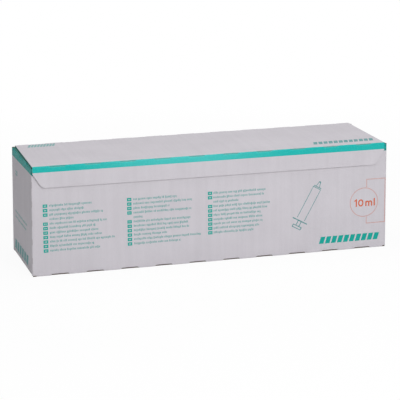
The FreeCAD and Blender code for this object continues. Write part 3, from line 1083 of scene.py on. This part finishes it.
# rows of blocks: name, left, top, right and bottom, count, panel, finish, slot and body
BLOCKS = [
    ("blocks_front", (341.0, 109.2, 417.0, 117.6), 10, FrontSpot, "teal_marks", "teal_print",
     "carton"),
    ("blocks_lid", (338.5, 95.0, 416.5, 107.0), 12, LidSpot, "block_marks", "grey_print", "lid"),
    ("blocks_left", (12.5, 109.0, 97.5, 120.6), 6, LeftSpot, "block_marks", "grey_print",
     "carton"),
    ("small_blocks_lid", (15.5, 5.0, 51.0, 18.0), 9, LidSpot, "grey_marks", "grey_print", "lid"),
]


def plates(corners, spot, raised=0.0):
    """Thin closed plates of ink, from arrays of four corners in panel millimetres."""
    corners = np.asarray(corners, float)
    across, down = corners[..., 0], corners[..., 1]
    top = spot(across, down, spot.ink.lift + raised)
    bottom = spot(across, down, -spot.ink.sink)
    points = np.concatenate([top, bottom], axis=1).reshape(-1, 3)
    box = np.array([
        [0, 1, 2, 3], [7, 6, 5, 4], [1, 0, 4, 5], [2, 1, 5, 6], [3, 2, 6, 7], [0, 3, 7, 4],
    ])
    quads = (box[None] + 8 * np.arange(len(corners))[:, None, None]).reshape(-1, 4)
    return shell(points, quads)


def leaning(left, top, right, bottom, lean=0.0):
    """Corners of rectangles whose upper edges are moved right by a lean."""
    return np.stack([
        np.column_stack([left + lean, top]), np.column_stack([left, bottom]),
        np.column_stack([right, bottom]), np.column_stack([right + lean, top]),
    ], axis=1)


def bars(boxes):
    """Corners of upright rectangles given as left, top, right and bottom."""
    return leaning(*np.asarray(boxes, float).T)


def slanted_blocks(box, count):
    """Corners of a row of equal slanted blocks that fills a rectangle."""
    left, top, right, bottom = box
    lean = SLANT * (bottom - top)
    pitch = (right - left - lean) / (count - 1 + BLOCK_SHARE)
    start = left + pitch * np.arange(count)
    end = start + BLOCK_SHARE * pitch
    return leaning(start, np.full(count, top), end, np.full(count, bottom), lean)


def refined(line, closed, step):
    """The same path with more points, none further apart than a step."""
    loop = np.vstack([line, line[:1]]) if closed else line
    parts = []
    for begin, end in zip(loop, loop[1:]):
        count = max(1, math.ceil(np.linalg.norm(end - begin) / step))
        parts.append(begin + (end - begin) * (np.arange(count) / count)[:, None])
    return np.vstack(parts if closed else parts + [loop[-1:]])


def stroke(line, width, closed, spot, raised=0.0):
    """A line of ink: a thin rectangular section carried along a path in panel millimetres."""
    line = refined(np.asarray(line, float), closed, spot.ink.path_step / MM)
    side = rim_inward(line, closed) * width / 2
    left, right = line - side, line + side
    high, low = spot.ink.lift + raised, -spot.ink.sink
    section = [
        spot(edge[:, 0], edge[:, 1], lift)
        for edge, lift in ((left, high), (right, high), (right, low), (left, low))
    ]
    points, quads = carried(np.stack(section, axis=1), closed)
    return shell(points, quads)


def strokes(lines, spot, step):
    """Shells of several lines, given with their widths and whether they are closed.

    Each lies a step higher than the one before.
    """
    return [
        stroke(line, width, closed, spot, step * number)
        for number, (line, width, closed) in enumerate(lines)
    ]


def bar_rows(rows, random):
    """Rows of small plain bars of random width, which follow each other in groups.

    Each row gives its start, its end and its middle line. Some bars reach higher or lower than
    the rest.
    """
    found = []
    for start, end, middle in rows:
        place = start
        left_in_group = random.integers(*FIRST_GROUP)
        while place < end:
            wide = random.uniform(*BAR_WIDTHS)
            up = BAR_HEIGHT * random.choice(BAR_UP)
            down = BAR_HEIGHT * random.choice(BAR_DOWN)
            found.append((place, middle - up, min(place + wide, end), middle + down))
            place += wide + BAR_GAP
            left_in_group -= 1
            if left_in_group == 0:
                place += 2 * BAR_GAP
                left_in_group = random.integers(*NEXT_GROUP)
    return bars(found)


def arc(centre, radius, begin, end, count):
    """Points of an arc, with angles in degrees."""
    angle = np.radians(np.linspace(begin, end, count))
    return np.column_stack([centre[0] + radius * np.cos(angle), centre[1] + radius * np.sin(angle)])


def finish_print(name, shells, finish, slot, body="carton"):
    """One printed piece that rides on its panel's body."""
    piece = make_piece(name, shells, [finish], slot)
    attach(piece, body)


def build_front_rows(blank, ink):
    """Three columns of plain squares, each with a row of small bars beside it."""
    random = np.random.default_rng(ink.seed)
    spot = FrontSpot(blank, ink)
    squares, centres, rows = [], [], []
    for left, text, run_on, ends in COLUMNS:
        for number, end in enumerate(ends):
            middle = FIRST_ROW + ROW_PITCH * number
            rows.append((text, end, middle))
            if number == run_on:
                continue
            wide, half = SQUARE[0], SQUARE[1] / 2
            squares.append((left, middle - half, left + wide, middle + half))
            wide, half = CENTRE[0], CENTRE[1] / 2
            for offset in CENTRE_STARTS:
                start = left + offset
                centres.append((start, middle - half, start + wide, middle + half))
    shells = [plates(bars(squares), spot)]
    finish_print("squares_front", shells, "teal_marks", "teal_print")
    shells = [plates(bars(centres), spot, ink.raise_step)]
    finish_print("square_centres_front", shells, "pale_marks", "white_board")
    shells = [plates(bar_rows(rows, random), spot)]
    finish_print("word_marks_front", shells, "grey_marks", "grey_print")


def build_capacity_mark(blank, ink):
    """The ring, its bracket and the plain capacity in orange.

    Figures and letters are lines of ink along straight runs and arcs. The bracket's two ends
    stop at the ring, at the height that the circle has above and below its centre there.
    """
    spot = FrontSpot(blank, ink)
    left, top, right, bottom = BRACKET
    dip = math.sqrt(RING_RADIUS**2 - (left - RING_CENTRE[0]) ** 2) + FINE_LINE
    bracket = [
        (left, RING_CENTRE[1] - dip), (left, top), (right, top), (right, bottom), (left, bottom),
        (left, RING_CENTRE[1] + dip),
    ]
    ring = arc(RING_CENTRE, RING_RADIUS, 0, 360, 73)[:-1]
    shells = strokes([(ring, FINE_LINE, True), (bracket, FINE_LINE, False)], spot, 0.0)
    finish_print("ring_front", shells, "pink_lines", "orange_print")

    cap, wide = FIGURE_HEIGHT, FIGURE_LINE
    one = [
        (ONE_X[0], BASE - 0.78 * cap), (ONE_X[1], BASE - cap + wide / 4), (ONE_X[1], BASE)
    ]
    angle = np.linspace(0, 2 * math.pi, 41)[:-1]
    nought = np.column_stack([
        NOUGHT_X + NOUGHT_RADIUS * np.cos(angle),
        BASE - cap / 2 + (cap - wide) / 2 * np.sin(angle),
    ])
    stem = [(ARCHES_X, BASE - LETTER_HEIGHT), (ARCHES_X, BASE)]
    spring = BASE - LETTER_HEIGHT + ARCH_RADIUS + wide / 4
    arches = [
        np.vstack([
            arc((x + ARCH_RADIUS, spring), ARCH_RADIUS, 180, 360, 11),
            [(x + 2 * ARCH_RADIUS, BASE)],
        ])
        for x in (ARCHES_X, ARCHES_X + 2 * ARCH_RADIUS)
    ]
    tall = [(TALL_X, BASE - cap - TALL_EXTRA), (TALL_X, BASE)]
    lines = [(line, wide, line is nought) for line in (one, nought, stem, tall, *arches)]
    shells = strokes(lines, spot, FIGURE_STEP)
    finish_print("capacity_front", shells, "orange_marks", "orange_print")


def build_outline_drawing(blank, ink):
    """A plain outline of a plunger in a barrel, leaning to the right.

    Its places are half widths from the middle line and heights along it, turned by the lean.
    """
    foot = np.array(OUTLINE_FOOT)
    up = np.array([math.sin(OUTLINE_LEAN), -math.cos(OUTLINE_LEAN)])
    out = np.array([math.cos(OUTLINE_LEAN), math.sin(OUTLINE_LEAN)])

    def at(side, height):
        return tuple(foot + out * side + up * height)

    def cross(half, height):
        return [at(-half, height), at(half, height)]

    barrel, cone, tip, mouth, flange, rod, thumb = 5.1, 2.3, 0.9, 0.8, 10.0, 2.1, 5.6
    thumb_top, rod_top, flange_at, foot_at, shoulder, cap, point = 3, 9, 9.6, 12, 53.0, 54.6, 61.0
    fine, plain, thick, blunt = 0.7, 0.9, 1.3, 1.5
    lines = [
        ([at(-barrel, foot_at), *cross(barrel, shoulder), at(barrel, foot_at)], fine, False),
        (cross(barrel, cap), plain, False),
        ([at(-cone, cap), *cross(tip, point), at(cone, cap)], fine, False),
        (cross(flange, flange_at), thick, False),
        ([at(-rod, rod_top), at(-rod, thumb_top)], plain, False),
        ([at(rod, rod_top), at(rod, thumb_top)], plain, False),
        ([at(-thumb, 0), *cross(thumb, thumb_top), at(thumb, 0)], plain, True),
        (cross(mouth, point), blunt, False),
    ]
    shells = strokes(lines, FrontSpot(blank, ink), OUTLINE_STEP)
    finish_print("outline_front", shells, "block_marks", "grey_print")


def build_plain_blocks(blank, ink):
    """Rows of plain slanted blocks on three panels, and the bars on the left end."""
    for name, box, count, panel, finish, slot, body in BLOCKS:
        shells = [plates(slanted_blocks(box, count), panel(blank, ink))]
        finish_print(name, shells, finish, slot, body)
    random = np.random.default_rng(ink.seed + 1)
    shells = [plates(bar_rows(LEFT_ROWS, random), LeftSpot(blank, ink))]
    finish_print("word_marks_left", shells, "grey_marks", "grey_print")


# Noise in the finishes: grains to the metre round and up the blank, and its detail.
FIBRE = (900, 260, 2.0)
STREAK = (150, 6, 3.0)
WAVER = (60, 0, 2.0)
SPECK = (500, 500, 3.0)
TEAL_PATCHES = (110, 260, 2.0)
RAGGED = (700, 700, 2.0)
BARE_FIBRE = (1100, 300, 4.0)
# the same as even grains to the metre, and their detail
CLOUD = (22.0, 4.0)
BARE_CLOUD = (35.0, 3.0)
PATCH = (700.0, 3.0)
FLOOR_GRAIN = (30.0, 3.0)
NOISE_ROUGHNESS = 0.55

# half the width over which a printed edge fades, and over which the band changes at a corner
SOFT = 0.1 * MM
CORNER_STEP = MM
# the band is paler in the middle of the flap: where from the left end, how far at full
# strength and how far in all, and how much
PALE_PLACE = 175 * MM
PALE_CORE = 30 * MM
PALE_REACH = 130 * MM
PALE_MOST = 0.75


class Nodes:
    """A node tree, with short calls for the nodes that the finishes and the light use."""

    def __init__(self, tree):
        self.tree = tree

    def put(self, kind, **settings):
        """A node with its settings, which are attributes of it."""
        node = self.tree.nodes.new(kind)
        for key, value in settings.items():
            setattr(node, key, value)
        return node

    def feed(self, socket, value):
        """Links an input to an output, or sets it to a number, vector or colour."""
        if isinstance(value, bpy.types.NodeSocket):
            self.tree.links.new(value, socket)
        elif isinstance(socket.default_value, (float, int)):
            socket.default_value = value
        else:
            wanted = len(socket.default_value)
            socket.default_value = (list(value) + [1.0])[:wanted]

    def worked(self, operation, *values, clamp=False):
        """What a Math node works out."""
        node = self.put("ShaderNodeMath", operation=operation, use_clamp=clamp)
        for socket, value in zip(node.inputs, values):
            self.feed(socket, value)
        return node.outputs[0]

    def add(self, first, second, clamp=False):
        """A sum."""
        return self.worked("ADD", first, second, clamp=clamp)

    def less(self, first, second):
        """A difference."""
        return self.worked("SUBTRACT", first, second)

    def times(self, first, second):
        """A product."""
        return self.worked("MULTIPLY", first, second)

    def most(self, first, second):
        """The larger of two."""
        return self.worked("MAXIMUM", first, second)

    def mixed(self, share, first, second):
        """A colour between two, by a share."""
        node = self.put("ShaderNodeMix", data_type="RGBA")
        colours = [socket for socket in node.inputs if socket.type == "RGBA"]
        self.feed(node.inputs["Factor"], share)
        self.feed(colours[0], first)
        self.feed(colours[1], second)
        return next(socket for socket in node.outputs if socket.type == "RGBA")

    def noise(self, vector, scale, detail):
        """Even noise between 0 and 1 on a vector."""
        node = self.put("ShaderNodeTexNoise")
        self.feed(node.inputs["Vector"], vector)
        self.feed(node.inputs["Scale"], scale)
        self.feed(node.inputs["Detail"], detail)
        self.feed(node.inputs["Roughness"], NOISE_ROUGHNESS)
        return node.outputs["Fac"]

    def grain(self, vector, x, y, detail):
        """Noise with x and y grains to the metre along its vector's first two axes."""
        node = self.put("ShaderNodeVectorMath", operation="MULTIPLY")
        self.feed(node.inputs[0], vector)
        self.feed(node.inputs[1], (x, y, 1.0))
        return self.noise(node.outputs[0], 1.0, detail)

    def between(self, value, low, high, first=0.0, second=1.0):
        """Maps a value from one range to another, held at the ends."""
        node = self.put("ShaderNodeMapRange", clamp=True)
        self.feed(node.inputs["Value"], value)
        self.feed(node.inputs["From Min"], low)
        self.feed(node.inputs["From Max"], high)
        self.feed(node.inputs["To Min"], first)
        self.feed(node.inputs["To Max"], second)
        return node.outputs["Result"]

    def rise(self, value, low, high, top=1.0):
        """0 for a value below a range, and a top above it."""
        return self.between(value, low, high, 0.0, top)

    def band(self, up, low, high):
        """1 between two heights, with soft edges."""
        above = self.between(self.less(up, low), -SOFT, SOFT)
        below = self.between(self.less(high, up), -SOFT, SOFT)
        return self.times(above, below)

    def attribute(self, name):
        """A number that the mesh holds at its points."""
        return self.put("ShaderNodeAttribute", attribute_name=name).outputs["Fac"]

    def blank_place(self):
        """Sheet coordinates, and their distance round and up the blank."""
        sheet = self.put("ShaderNodeUVMap", uv_map=SHEET).outputs[0]
        split = self.put("ShaderNodeSeparateXYZ")
        self.feed(split.inputs[0], sheet)
        return sheet, split.outputs[0], split.outputs[1]

    def bumped(self, shader, height, distance):
        """Relief from a height between 0 and 1."""
        node = self.put("ShaderNodeBump")
        self.feed(node.inputs["Height"], height)
        self.feed(node.inputs["Strength"], 1.0)
        self.feed(node.inputs["Distance"], distance)
        self.feed(shader.inputs["Normal"], node.outputs["Normal"])

    def flutes(self, shader, around, fibre, flute, wave, grain, distance):
        """Relief of board: a sine across the flutes, and its fibres."""
        wash = self.worked("SINE", self.times(around, 2 * math.pi / flute))
        self.bumped(shader, self.add(self.times(wash, wave), self.times(fibre, grain)), distance)

    def seen_ray(self):
        """1 for what the camera sees, straight, mirrored or through glass."""
        path = self.put("ShaderNodeLightPath")
        seen = self.most(path.outputs["Is Camera Ray"], path.outputs["Is Glossy Ray"])
        return self.most(seen, path.outputs["Is Transmission Ray"])

    def switched(self, share, first, second, output):
        """One shader or another at an output, by a share."""
        blend = self.put("ShaderNodeMixShader")
        for socket, value in zip(blend.inputs, (share, first.outputs[0], second.outputs[0])):
            self.tree.links.new(value, socket)
        self.tree.links.new(blend.outputs[0], self.tree.nodes[output].inputs["Surface"])


def new_finish(name):
    """The nodes of a new material, and its shader."""
    material = bpy.data.materials.new(name)
    material.use_nodes = True
    return Nodes(material.node_tree), material.node_tree.nodes["Principled BSDF"]


def matt(nodes, shader, tone, roughness, gloss):
    """Gives a shader its colour, its roughness and a faint gloss."""
    nodes.feed(shader.inputs["Base Color"], tone)
    nodes.feed(shader.inputs["Roughness"], roughness)
    shader.inputs["Specular IOR Level"].default_value = gloss


def liner_paper(nodes, sheet, fibre, tones):
    """Unprinted liner: clouds, fibres and long streaks between two tones."""
    cloud = nodes.rise(nodes.noise(sheet, *CLOUD), 0.35, 0.65, 0.5)
    streak = nodes.rise(nodes.grain(sheet, *STREAK), 0.35, 0.7, 0.45)
    tone = nodes.add(cloud, nodes.rise(fibre, 0.3, 0.7, 0.3))
    tone = nodes.add(tone, streak, clamp=True)
    return nodes.mixed(tone, tones.liner, tones.liner_shade)


def band_places(nodes, blank, ink, sheet, around, up):
    """Where the printed band covers the walls, and where the lid's edge and the front flap.

    On the walls its foot steps at the front corner and slopes along the left end, and its top
    runs on over the folds. On the flap both edges slope from the left to the right.
    """
    top, fold = blank.top, blank.flap_fold
    third, fourth = blank.turns[2:]
    right = fourth + 2 * blank.half
    half = 0.5 * ink.band_waver
    waver = nodes.between(nodes.grain(sheet, *WAVER), 0.3, 0.7, -half, half)

    def change(begin, end, first, second):
        return nodes.between(around, begin, end, first, second)

    corner = change(third - CORNER_STEP, third, top - ink.wall_band, top - ink.end_band)
    foot = nodes.less(corner, change(third, fourth, 0.0, ink.back_band - ink.end_band))
    over = change(fourth - CORNER_STEP, fourth, top + ink.tuck_band, top + ink.back_fold_band)
    walls = nodes.band(up, foot, nodes.add(waver, over))
    over_lid = change(fourth, right, fold - ink.lid_band, fold - ink.lid_band_right)
    flap_foot = change(fourth, right, fold + ink.flap_band, fold + ink.flap_band_right)
    return walls, nodes.band(up, nodes.less(over_lid, waver), flap_foot)


def band_ink(nodes, blank, tones, sheet, around, up, walls, flap):
    """The band's colour: paler in the middle of the flap; on the walls darker, as painted shade, with
    random darker patches and painted shade along the rim under the lid's edge.
    """
    from_pale_middle = nodes.worked("ABSOLUTE", nodes.less(around, blank.turns[3] + PALE_PLACE))
    middle = nodes.between(from_pale_middle, PALE_CORE, PALE_REACH, PALE_MOST, 0.0)
    speck = nodes.rise(nodes.grain(sheet, *SPECK), 0.45, 0.75, 0.35)
    # how far the band turns to the paler teal: in the middle of the flap, and in random specks
    thin = nodes.add(nodes.times(middle, flap), speck, clamp=True)
    pale = nodes.mixed(thin, tones.teal, tones.teal_pale)
    # random darker patches of the walls' band
    patches_and_shade = nodes.rise(nodes.grain(sheet, *TEAL_PATCHES), 0.4, 0.62)
    reach = blank.size.fold
    # painted shade along the rim, under the lid's edge and just below the folds
    rim_shade = nodes.rise(up, blank.rim - reach, blank.rim + reach)
    patches_and_shade = nodes.most(nodes.times(patches_and_shade, 0.55), rim_shade)
    return nodes.mixed(walls, pale, nodes.mixed(patches_and_shade, tones.teal_deep, tones.teal_shade))


def torn_board(nodes, sheet):
    """Where the dark marks show, with a ragged outline and as plainly as the piece's attribute says:
    board in the open cuts, darkened with painted shade, and painted shadow at the bottom flaps' ends.
    """
    ragged = nodes.times(nodes.grain(sheet, *RAGGED), 0.5)
    torn = nodes.rise(nodes.add(nodes.attribute(TORN), ragged), 0.62, 0.78)
    return nodes.times(torn, nodes.attribute(WORN))


def white_liner(blank, ink, tones):
    """White paper over the flutes, with the printed bands, painted shade on parts of the band, and the
    dark marks of the folds' cuts, which are partly painted shade.
    """
    nodes, shader = new_finish("white_liner")
    sheet, around, up = nodes.blank_place()
    fibre = nodes.grain(sheet, *FIBRE)
    paper = liner_paper(nodes, sheet, fibre, tones)
    walls, flap = band_places(nodes, blank, ink, sheet, around, up)
    printed = nodes.most(walls, flap)
    teal = band_ink(nodes, blank, tones, sheet, around, up, walls, flap)
    # the dark marks over the printed paper: board in the open cuts darkened with painted shade, and
    # painted shadow at the bottom flaps' ends
    surface = nodes.mixed(torn_board(nodes, sheet), nodes.mixed(printed, paper, teal), tones.cut)
    rough = nodes.less(nodes.between(fibre, 0.2, 0.8, 0.62, 0.8), nodes.times(printed, 0.12))
    matt(nodes, shader, surface, rough, gloss=0.25)
    flute = blank.size.flute
    nodes.flutes(shader, around, fibre, flute, wave=0.25, grain=0.5, distance=0.03 * MM)


def bare_board(blank, name, light, dark):
    """Bare board: fibres that lie along the flutes, cloudy, with a light washboard."""
    nodes, shader = new_finish(name)
    sheet, around = nodes.blank_place()[:2]
    fibre = nodes.grain(sheet, *BARE_FIBRE)
    cloud = nodes.rise(nodes.noise(sheet, *BARE_CLOUD), 0.35, 0.7, 0.3)
    tone = nodes.add(nodes.rise(fibre, 0.45, 0.75, 0.6), cloud, clamp=True)
    rough = nodes.between(fibre, 0.2, 0.8, 0.75, 0.92)
    matt(nodes, shader, nodes.mixed(tone, light, dark), rough, gloss=0.2)
    flute = blank.size.flute
    nodes.flutes(shader, around, fibre, flute, wave=0.3, grain=0.6, distance=0.04 * MM)


def ink_finish(name, tone, pale):
    """Ink on paper: slightly patchy, matt, with the paper's fine grain."""
    nodes, shader = new_finish(name)
    place = nodes.put("ShaderNodeTexCoord").outputs["Object"]
    patch = nodes.noise(place, *PATCH)
    surface = nodes.mixed(nodes.rise(patch, 0.4, 0.75, 0.4), tone, pale)
    matt(nodes, shader, surface, nodes.between(patch, 0.2, 0.8, 0.5, 0.68), gloss=0.25)
    nodes.bumped(shader, patch, 0.01 * MM)


class CARTON_OT_finishes(Operator):
    """Make the papers and inks"""

    bl_idname = "carton.finishes"
    bl_label = "Papers and inks"

    def execute(self, context):
        scene = context.scene
        blank = Blank(scene)
        tones = scene.carton_colours
        white_liner(blank, scene.print_sizes, tones)
        # the raw edges carry painted light: the cut edge is painted darker as shade, the front flap's
        # edge is painted light and the lid's edge painted teal shade
        for name, light, dark in (
            ("brown_board", tones.kraft, tones.kraft_dark),
            ("cut_edge", tones.edge, tones.edge_dark),
            ("pale_edge", tones.edge_pale, tones.edge),
            ("inked_edge", tones.edge_teal_shade, tones.teal_deep),
        ):
            bare_board(blank, name, light, dark)
        for name, tone, pale in (
            ("teal_marks", tones.teal_dark, tones.teal),
            ("pale_marks", tones.liner, tones.liner_shade),
            ("grey_marks", tones.bars, tones.liner_shade),
            ("block_marks", tones.blocks, tones.liner_shade),
            ("orange_marks", tones.orange, tones.pink),
            ("pink_lines", tones.pink, tones.liner),
        ):
            ink_finish(name, tone, pale)
        return {"FINISHED"}


class CARTON_OT_walls(Operator):
    """Fold the four walls and the glue tab"""

    bl_idname = "carton.walls"
    bl_label = "Walls"

    def execute(self, context):
        build_walls(Blank(context.scene))
        return {"FINISHED"}


class CARTON_OT_tucked_flaps(Operator):
    """Fold in the dust flaps and the bottom flaps"""

    bl_idname = "carton.tucked_flaps"
    bl_label = "Tucked flaps"

    def execute(self, context):
        blank = Blank(context.scene)
        build_end_flaps(blank)
        build_bottom_flaps(blank)
        return {"FINISHED"}


class CARTON_OT_lid(Operator):
    """Make the lid and the front flap, which bend at their folds"""

    bl_idname = "carton.lid"
    bl_label = "Lid and front flap"

    def execute(self, context):
        blank = Blank(context.scene)
        build_lid(blank)
        build_front_flap(blank)
        return {"FINISHED"}


class CARTON_OT_print(Operator):
    """Print the marks on the front, the lid and the left end"""

    bl_idname = "carton.print"
    bl_label = "Print"

    def execute(self, context):
        blank = Blank(context.scene)
        ink = context.scene.print_sizes
        build_front_rows(blank, ink)
        build_capacity_mark(blank, ink)
        build_outline_drawing(blank, ink)
        build_plain_blocks(blank, ink)
        return {"FINISHED"}


class CARTON_OT_stage(Operator):
    """Set up the floor, the light and the camera"""

    bl_idname = "carton.stage"
    bl_label = "Stage"

    def execute(self, context):
        stage = context.scene.stage_sizes
        build_floor(stage)
        build_light(context.scene, stage)
        build_camera(context.scene, stage)
        return {"FINISHED"}


# the floor: half its width and its lines in metres, how far it lies below the carton, its two
# greys, and from where to where its veil gets whiter
FLOOR_REACH = 6.0
FLOOR_LINES = 13
FLOOR_GAP = 0.02 * MM
FLOOR_GREYS = (0.86, 0.9)
VEIL_RANGE = (0.25, 0.9)
# softboxes: name, place and width in metres, and the size that holds their power
SOFTBOXES = (
    ("front_softbox", (0.1, -1.25, 0.85), 0.9, "front_lamp"),
    ("top_softbox", (0.05, 0.1, 1.3), 1.2, "top_lamp"),
)
WHITE = (1, 1, 1, 1)
SENSOR_WIDTH = 36.0


def build_floor(stage):
    """A wide flat floor that looks white to the camera and keeps the carton's shadow."""
    lines = np.linspace(-FLOOR_REACH, FLOOR_REACH, FLOOR_LINES)
    x, y = np.meshgrid(lines, lines)
    points = np.stack([x, y, np.full_like(x, -FLOOR_GAP)], axis=-1).reshape(-1, 3)
    quads = grid_quads(np.arange(len(points)).reshape(x.shape))
    mesh = bpy.data.meshes.new("floor")
    mesh.from_pydata(points.tolist(), [], quads.tolist())
    nodes, shader = new_finish("floor_paper")
    place = nodes.put("ShaderNodeTexCoord").outputs["Object"]
    dull, bright = ((grey, grey, grey) for grey in FLOOR_GREYS)
    matt(nodes, shader, nodes.mixed(nodes.noise(place, *FLOOR_GRAIN), dull, bright), 0.9, gloss=0.0)
    glow = nodes.put("ShaderNodeEmission")
    glow.inputs["Strength"].default_value = 1.0
    span = nodes.put("ShaderNodeVectorMath", operation="LENGTH")
    nodes.feed(span.inputs[0], place)
    veil = nodes.between(span.outputs["Value"], *VEIL_RANGE, stage.veil, 1.0)
    nodes.switched(nodes.times(nodes.seen_ray(), veil), shader, glow, "Material Output")
    mesh.materials.append(bpy.data.materials["floor_paper"])
    added_object("floor", mesh)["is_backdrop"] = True


def build_light(scene, stage):
    """Even light from all round, a softbox in front and one above, and a white background.

    The camera doesn't see the softboxes, which are square and turned to the carton's middle.
    """
    world = bpy.data.worlds.new("studio")
    scene.world = world
    world.use_nodes = True
    nodes = Nodes(world.node_tree)
    lit = world.node_tree.nodes["Background"]
    seen = nodes.put("ShaderNodeBackground")
    for background, strength in ((lit, stage.sky), (seen, 1.0)):
        background.inputs["Color"].default_value = WHITE
        background.inputs["Strength"].default_value = strength
    nodes.switched(nodes.seen_ray(), lit, seen, "World Output")
    middle = Vector((0.0, 0.0, WALLS_HIGH.z / 2))
    for name, place, width, power in SOFTBOXES:
        lamp = bpy.data.lights.new(name, "AREA")
        lamp.size = width
        lamp.energy = getattr(stage, power)
        box = added_object(name, lamp)
        box.location = place
        box.rotation_mode = "QUATERNION"
        box.rotation_quaternion = (Vector(place) - middle).to_track_quat("Z", "Y")
        box.visible_camera = False


def build_camera(scene, stage):
    """The photograph's camera: where it stands, where it looks and how far it is rolled."""
    a, e, r = stage.azimuth, stage.elevation, stage.roll
    back = Vector((math.sin(a) * math.cos(e), -math.cos(a) * math.cos(e), math.sin(e)))
    right = Vector((0, 0, 1)).cross(back).normalized()
    up = back.cross(right)
    turned = right * math.cos(r) + up * math.sin(r)
    raised = up * math.cos(r) - right * math.sin(r)
    data = bpy.data.cameras.new("camera")
    data.sensor_width = SENSOR_WIDTH
    data.sensor_fit = "HORIZONTAL"
    data.lens = SENSOR_WIDTH * stage.focal_pixels / stage.photo_pixels
    data.clip_start = 0.01
    data.clip_end = 100.0
    camera = added_object("camera", data)
    matrix = Matrix((turned, raised, back)).transposed().to_4x4()
    matrix.translation = Vector(stage.camera)
    camera.matrix_world = matrix
    scene.camera = camera


class CARTON_PT_sidebar(Panel):
    """Lists the carton's steps and sizes"""

    bl_idname = "CARTON_PT_sidebar"
    bl_label = "Corrugated carton"
    bl_space_type = "VIEW_3D"
    bl_region_type = "UI"
    bl_category = "Carton"

    def draw(self, context):
        for step in STEPS:
            self.layout.operator(step.bl_idname)
        for key in GROUPS:
            group = getattr(context.scene, key)
            self.layout.label(text=key.replace("_", " ").capitalize())
            for name in group.__annotations__:
                self.layout.prop(group, name)


STEPS = (
    CARTON_OT_finishes, CARTON_OT_walls, CARTON_OT_tucked_flaps, CARTON_OT_lid, CARTON_OT_print,
    CARTON_OT_stage,
)
GROUPS = {
    "board_sizes": BoardSizes, "carton_sizes": CartonSizes, "print_sizes": PrintSizes,
    "carton_colours": CartonColours, "stage_sizes": StageSizes,
}
CLASSES = (*GROUPS.values(), *STEPS, CARTON_PT_sidebar)


def register():
    for cls in CLASSES:
        bpy.utils.register_class(cls)
    for key, group in GROUPS.items():
        setattr(bpy.types.Scene, key, PointerProperty(type=group))


def unregister():
    for key in GROUPS:
        delattr(bpy.types.Scene, key)
    for cls in reversed(CLASSES):
        bpy.utils.unregister_class(cls)


def main():
    """Builds everything in order."""
    register()
    scene = bpy.context.scene
    scene.view_settings.view_transform = "Standard"
    bpy.ops.carton.finishes()
    bpy.ops.carton.walls()
    bpy.ops.carton.tucked_flaps()
    bpy.ops.carton.lid()
    bpy.ops.carton.print()
    bpy.ops.carton.stage()
    boxes = {"cad": CAD_BOX, "visual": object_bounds()}
    sizes = {name: [list(corner) for corner in box] for name, box in boxes.items()}


if __name__ == "__main__":
    main()
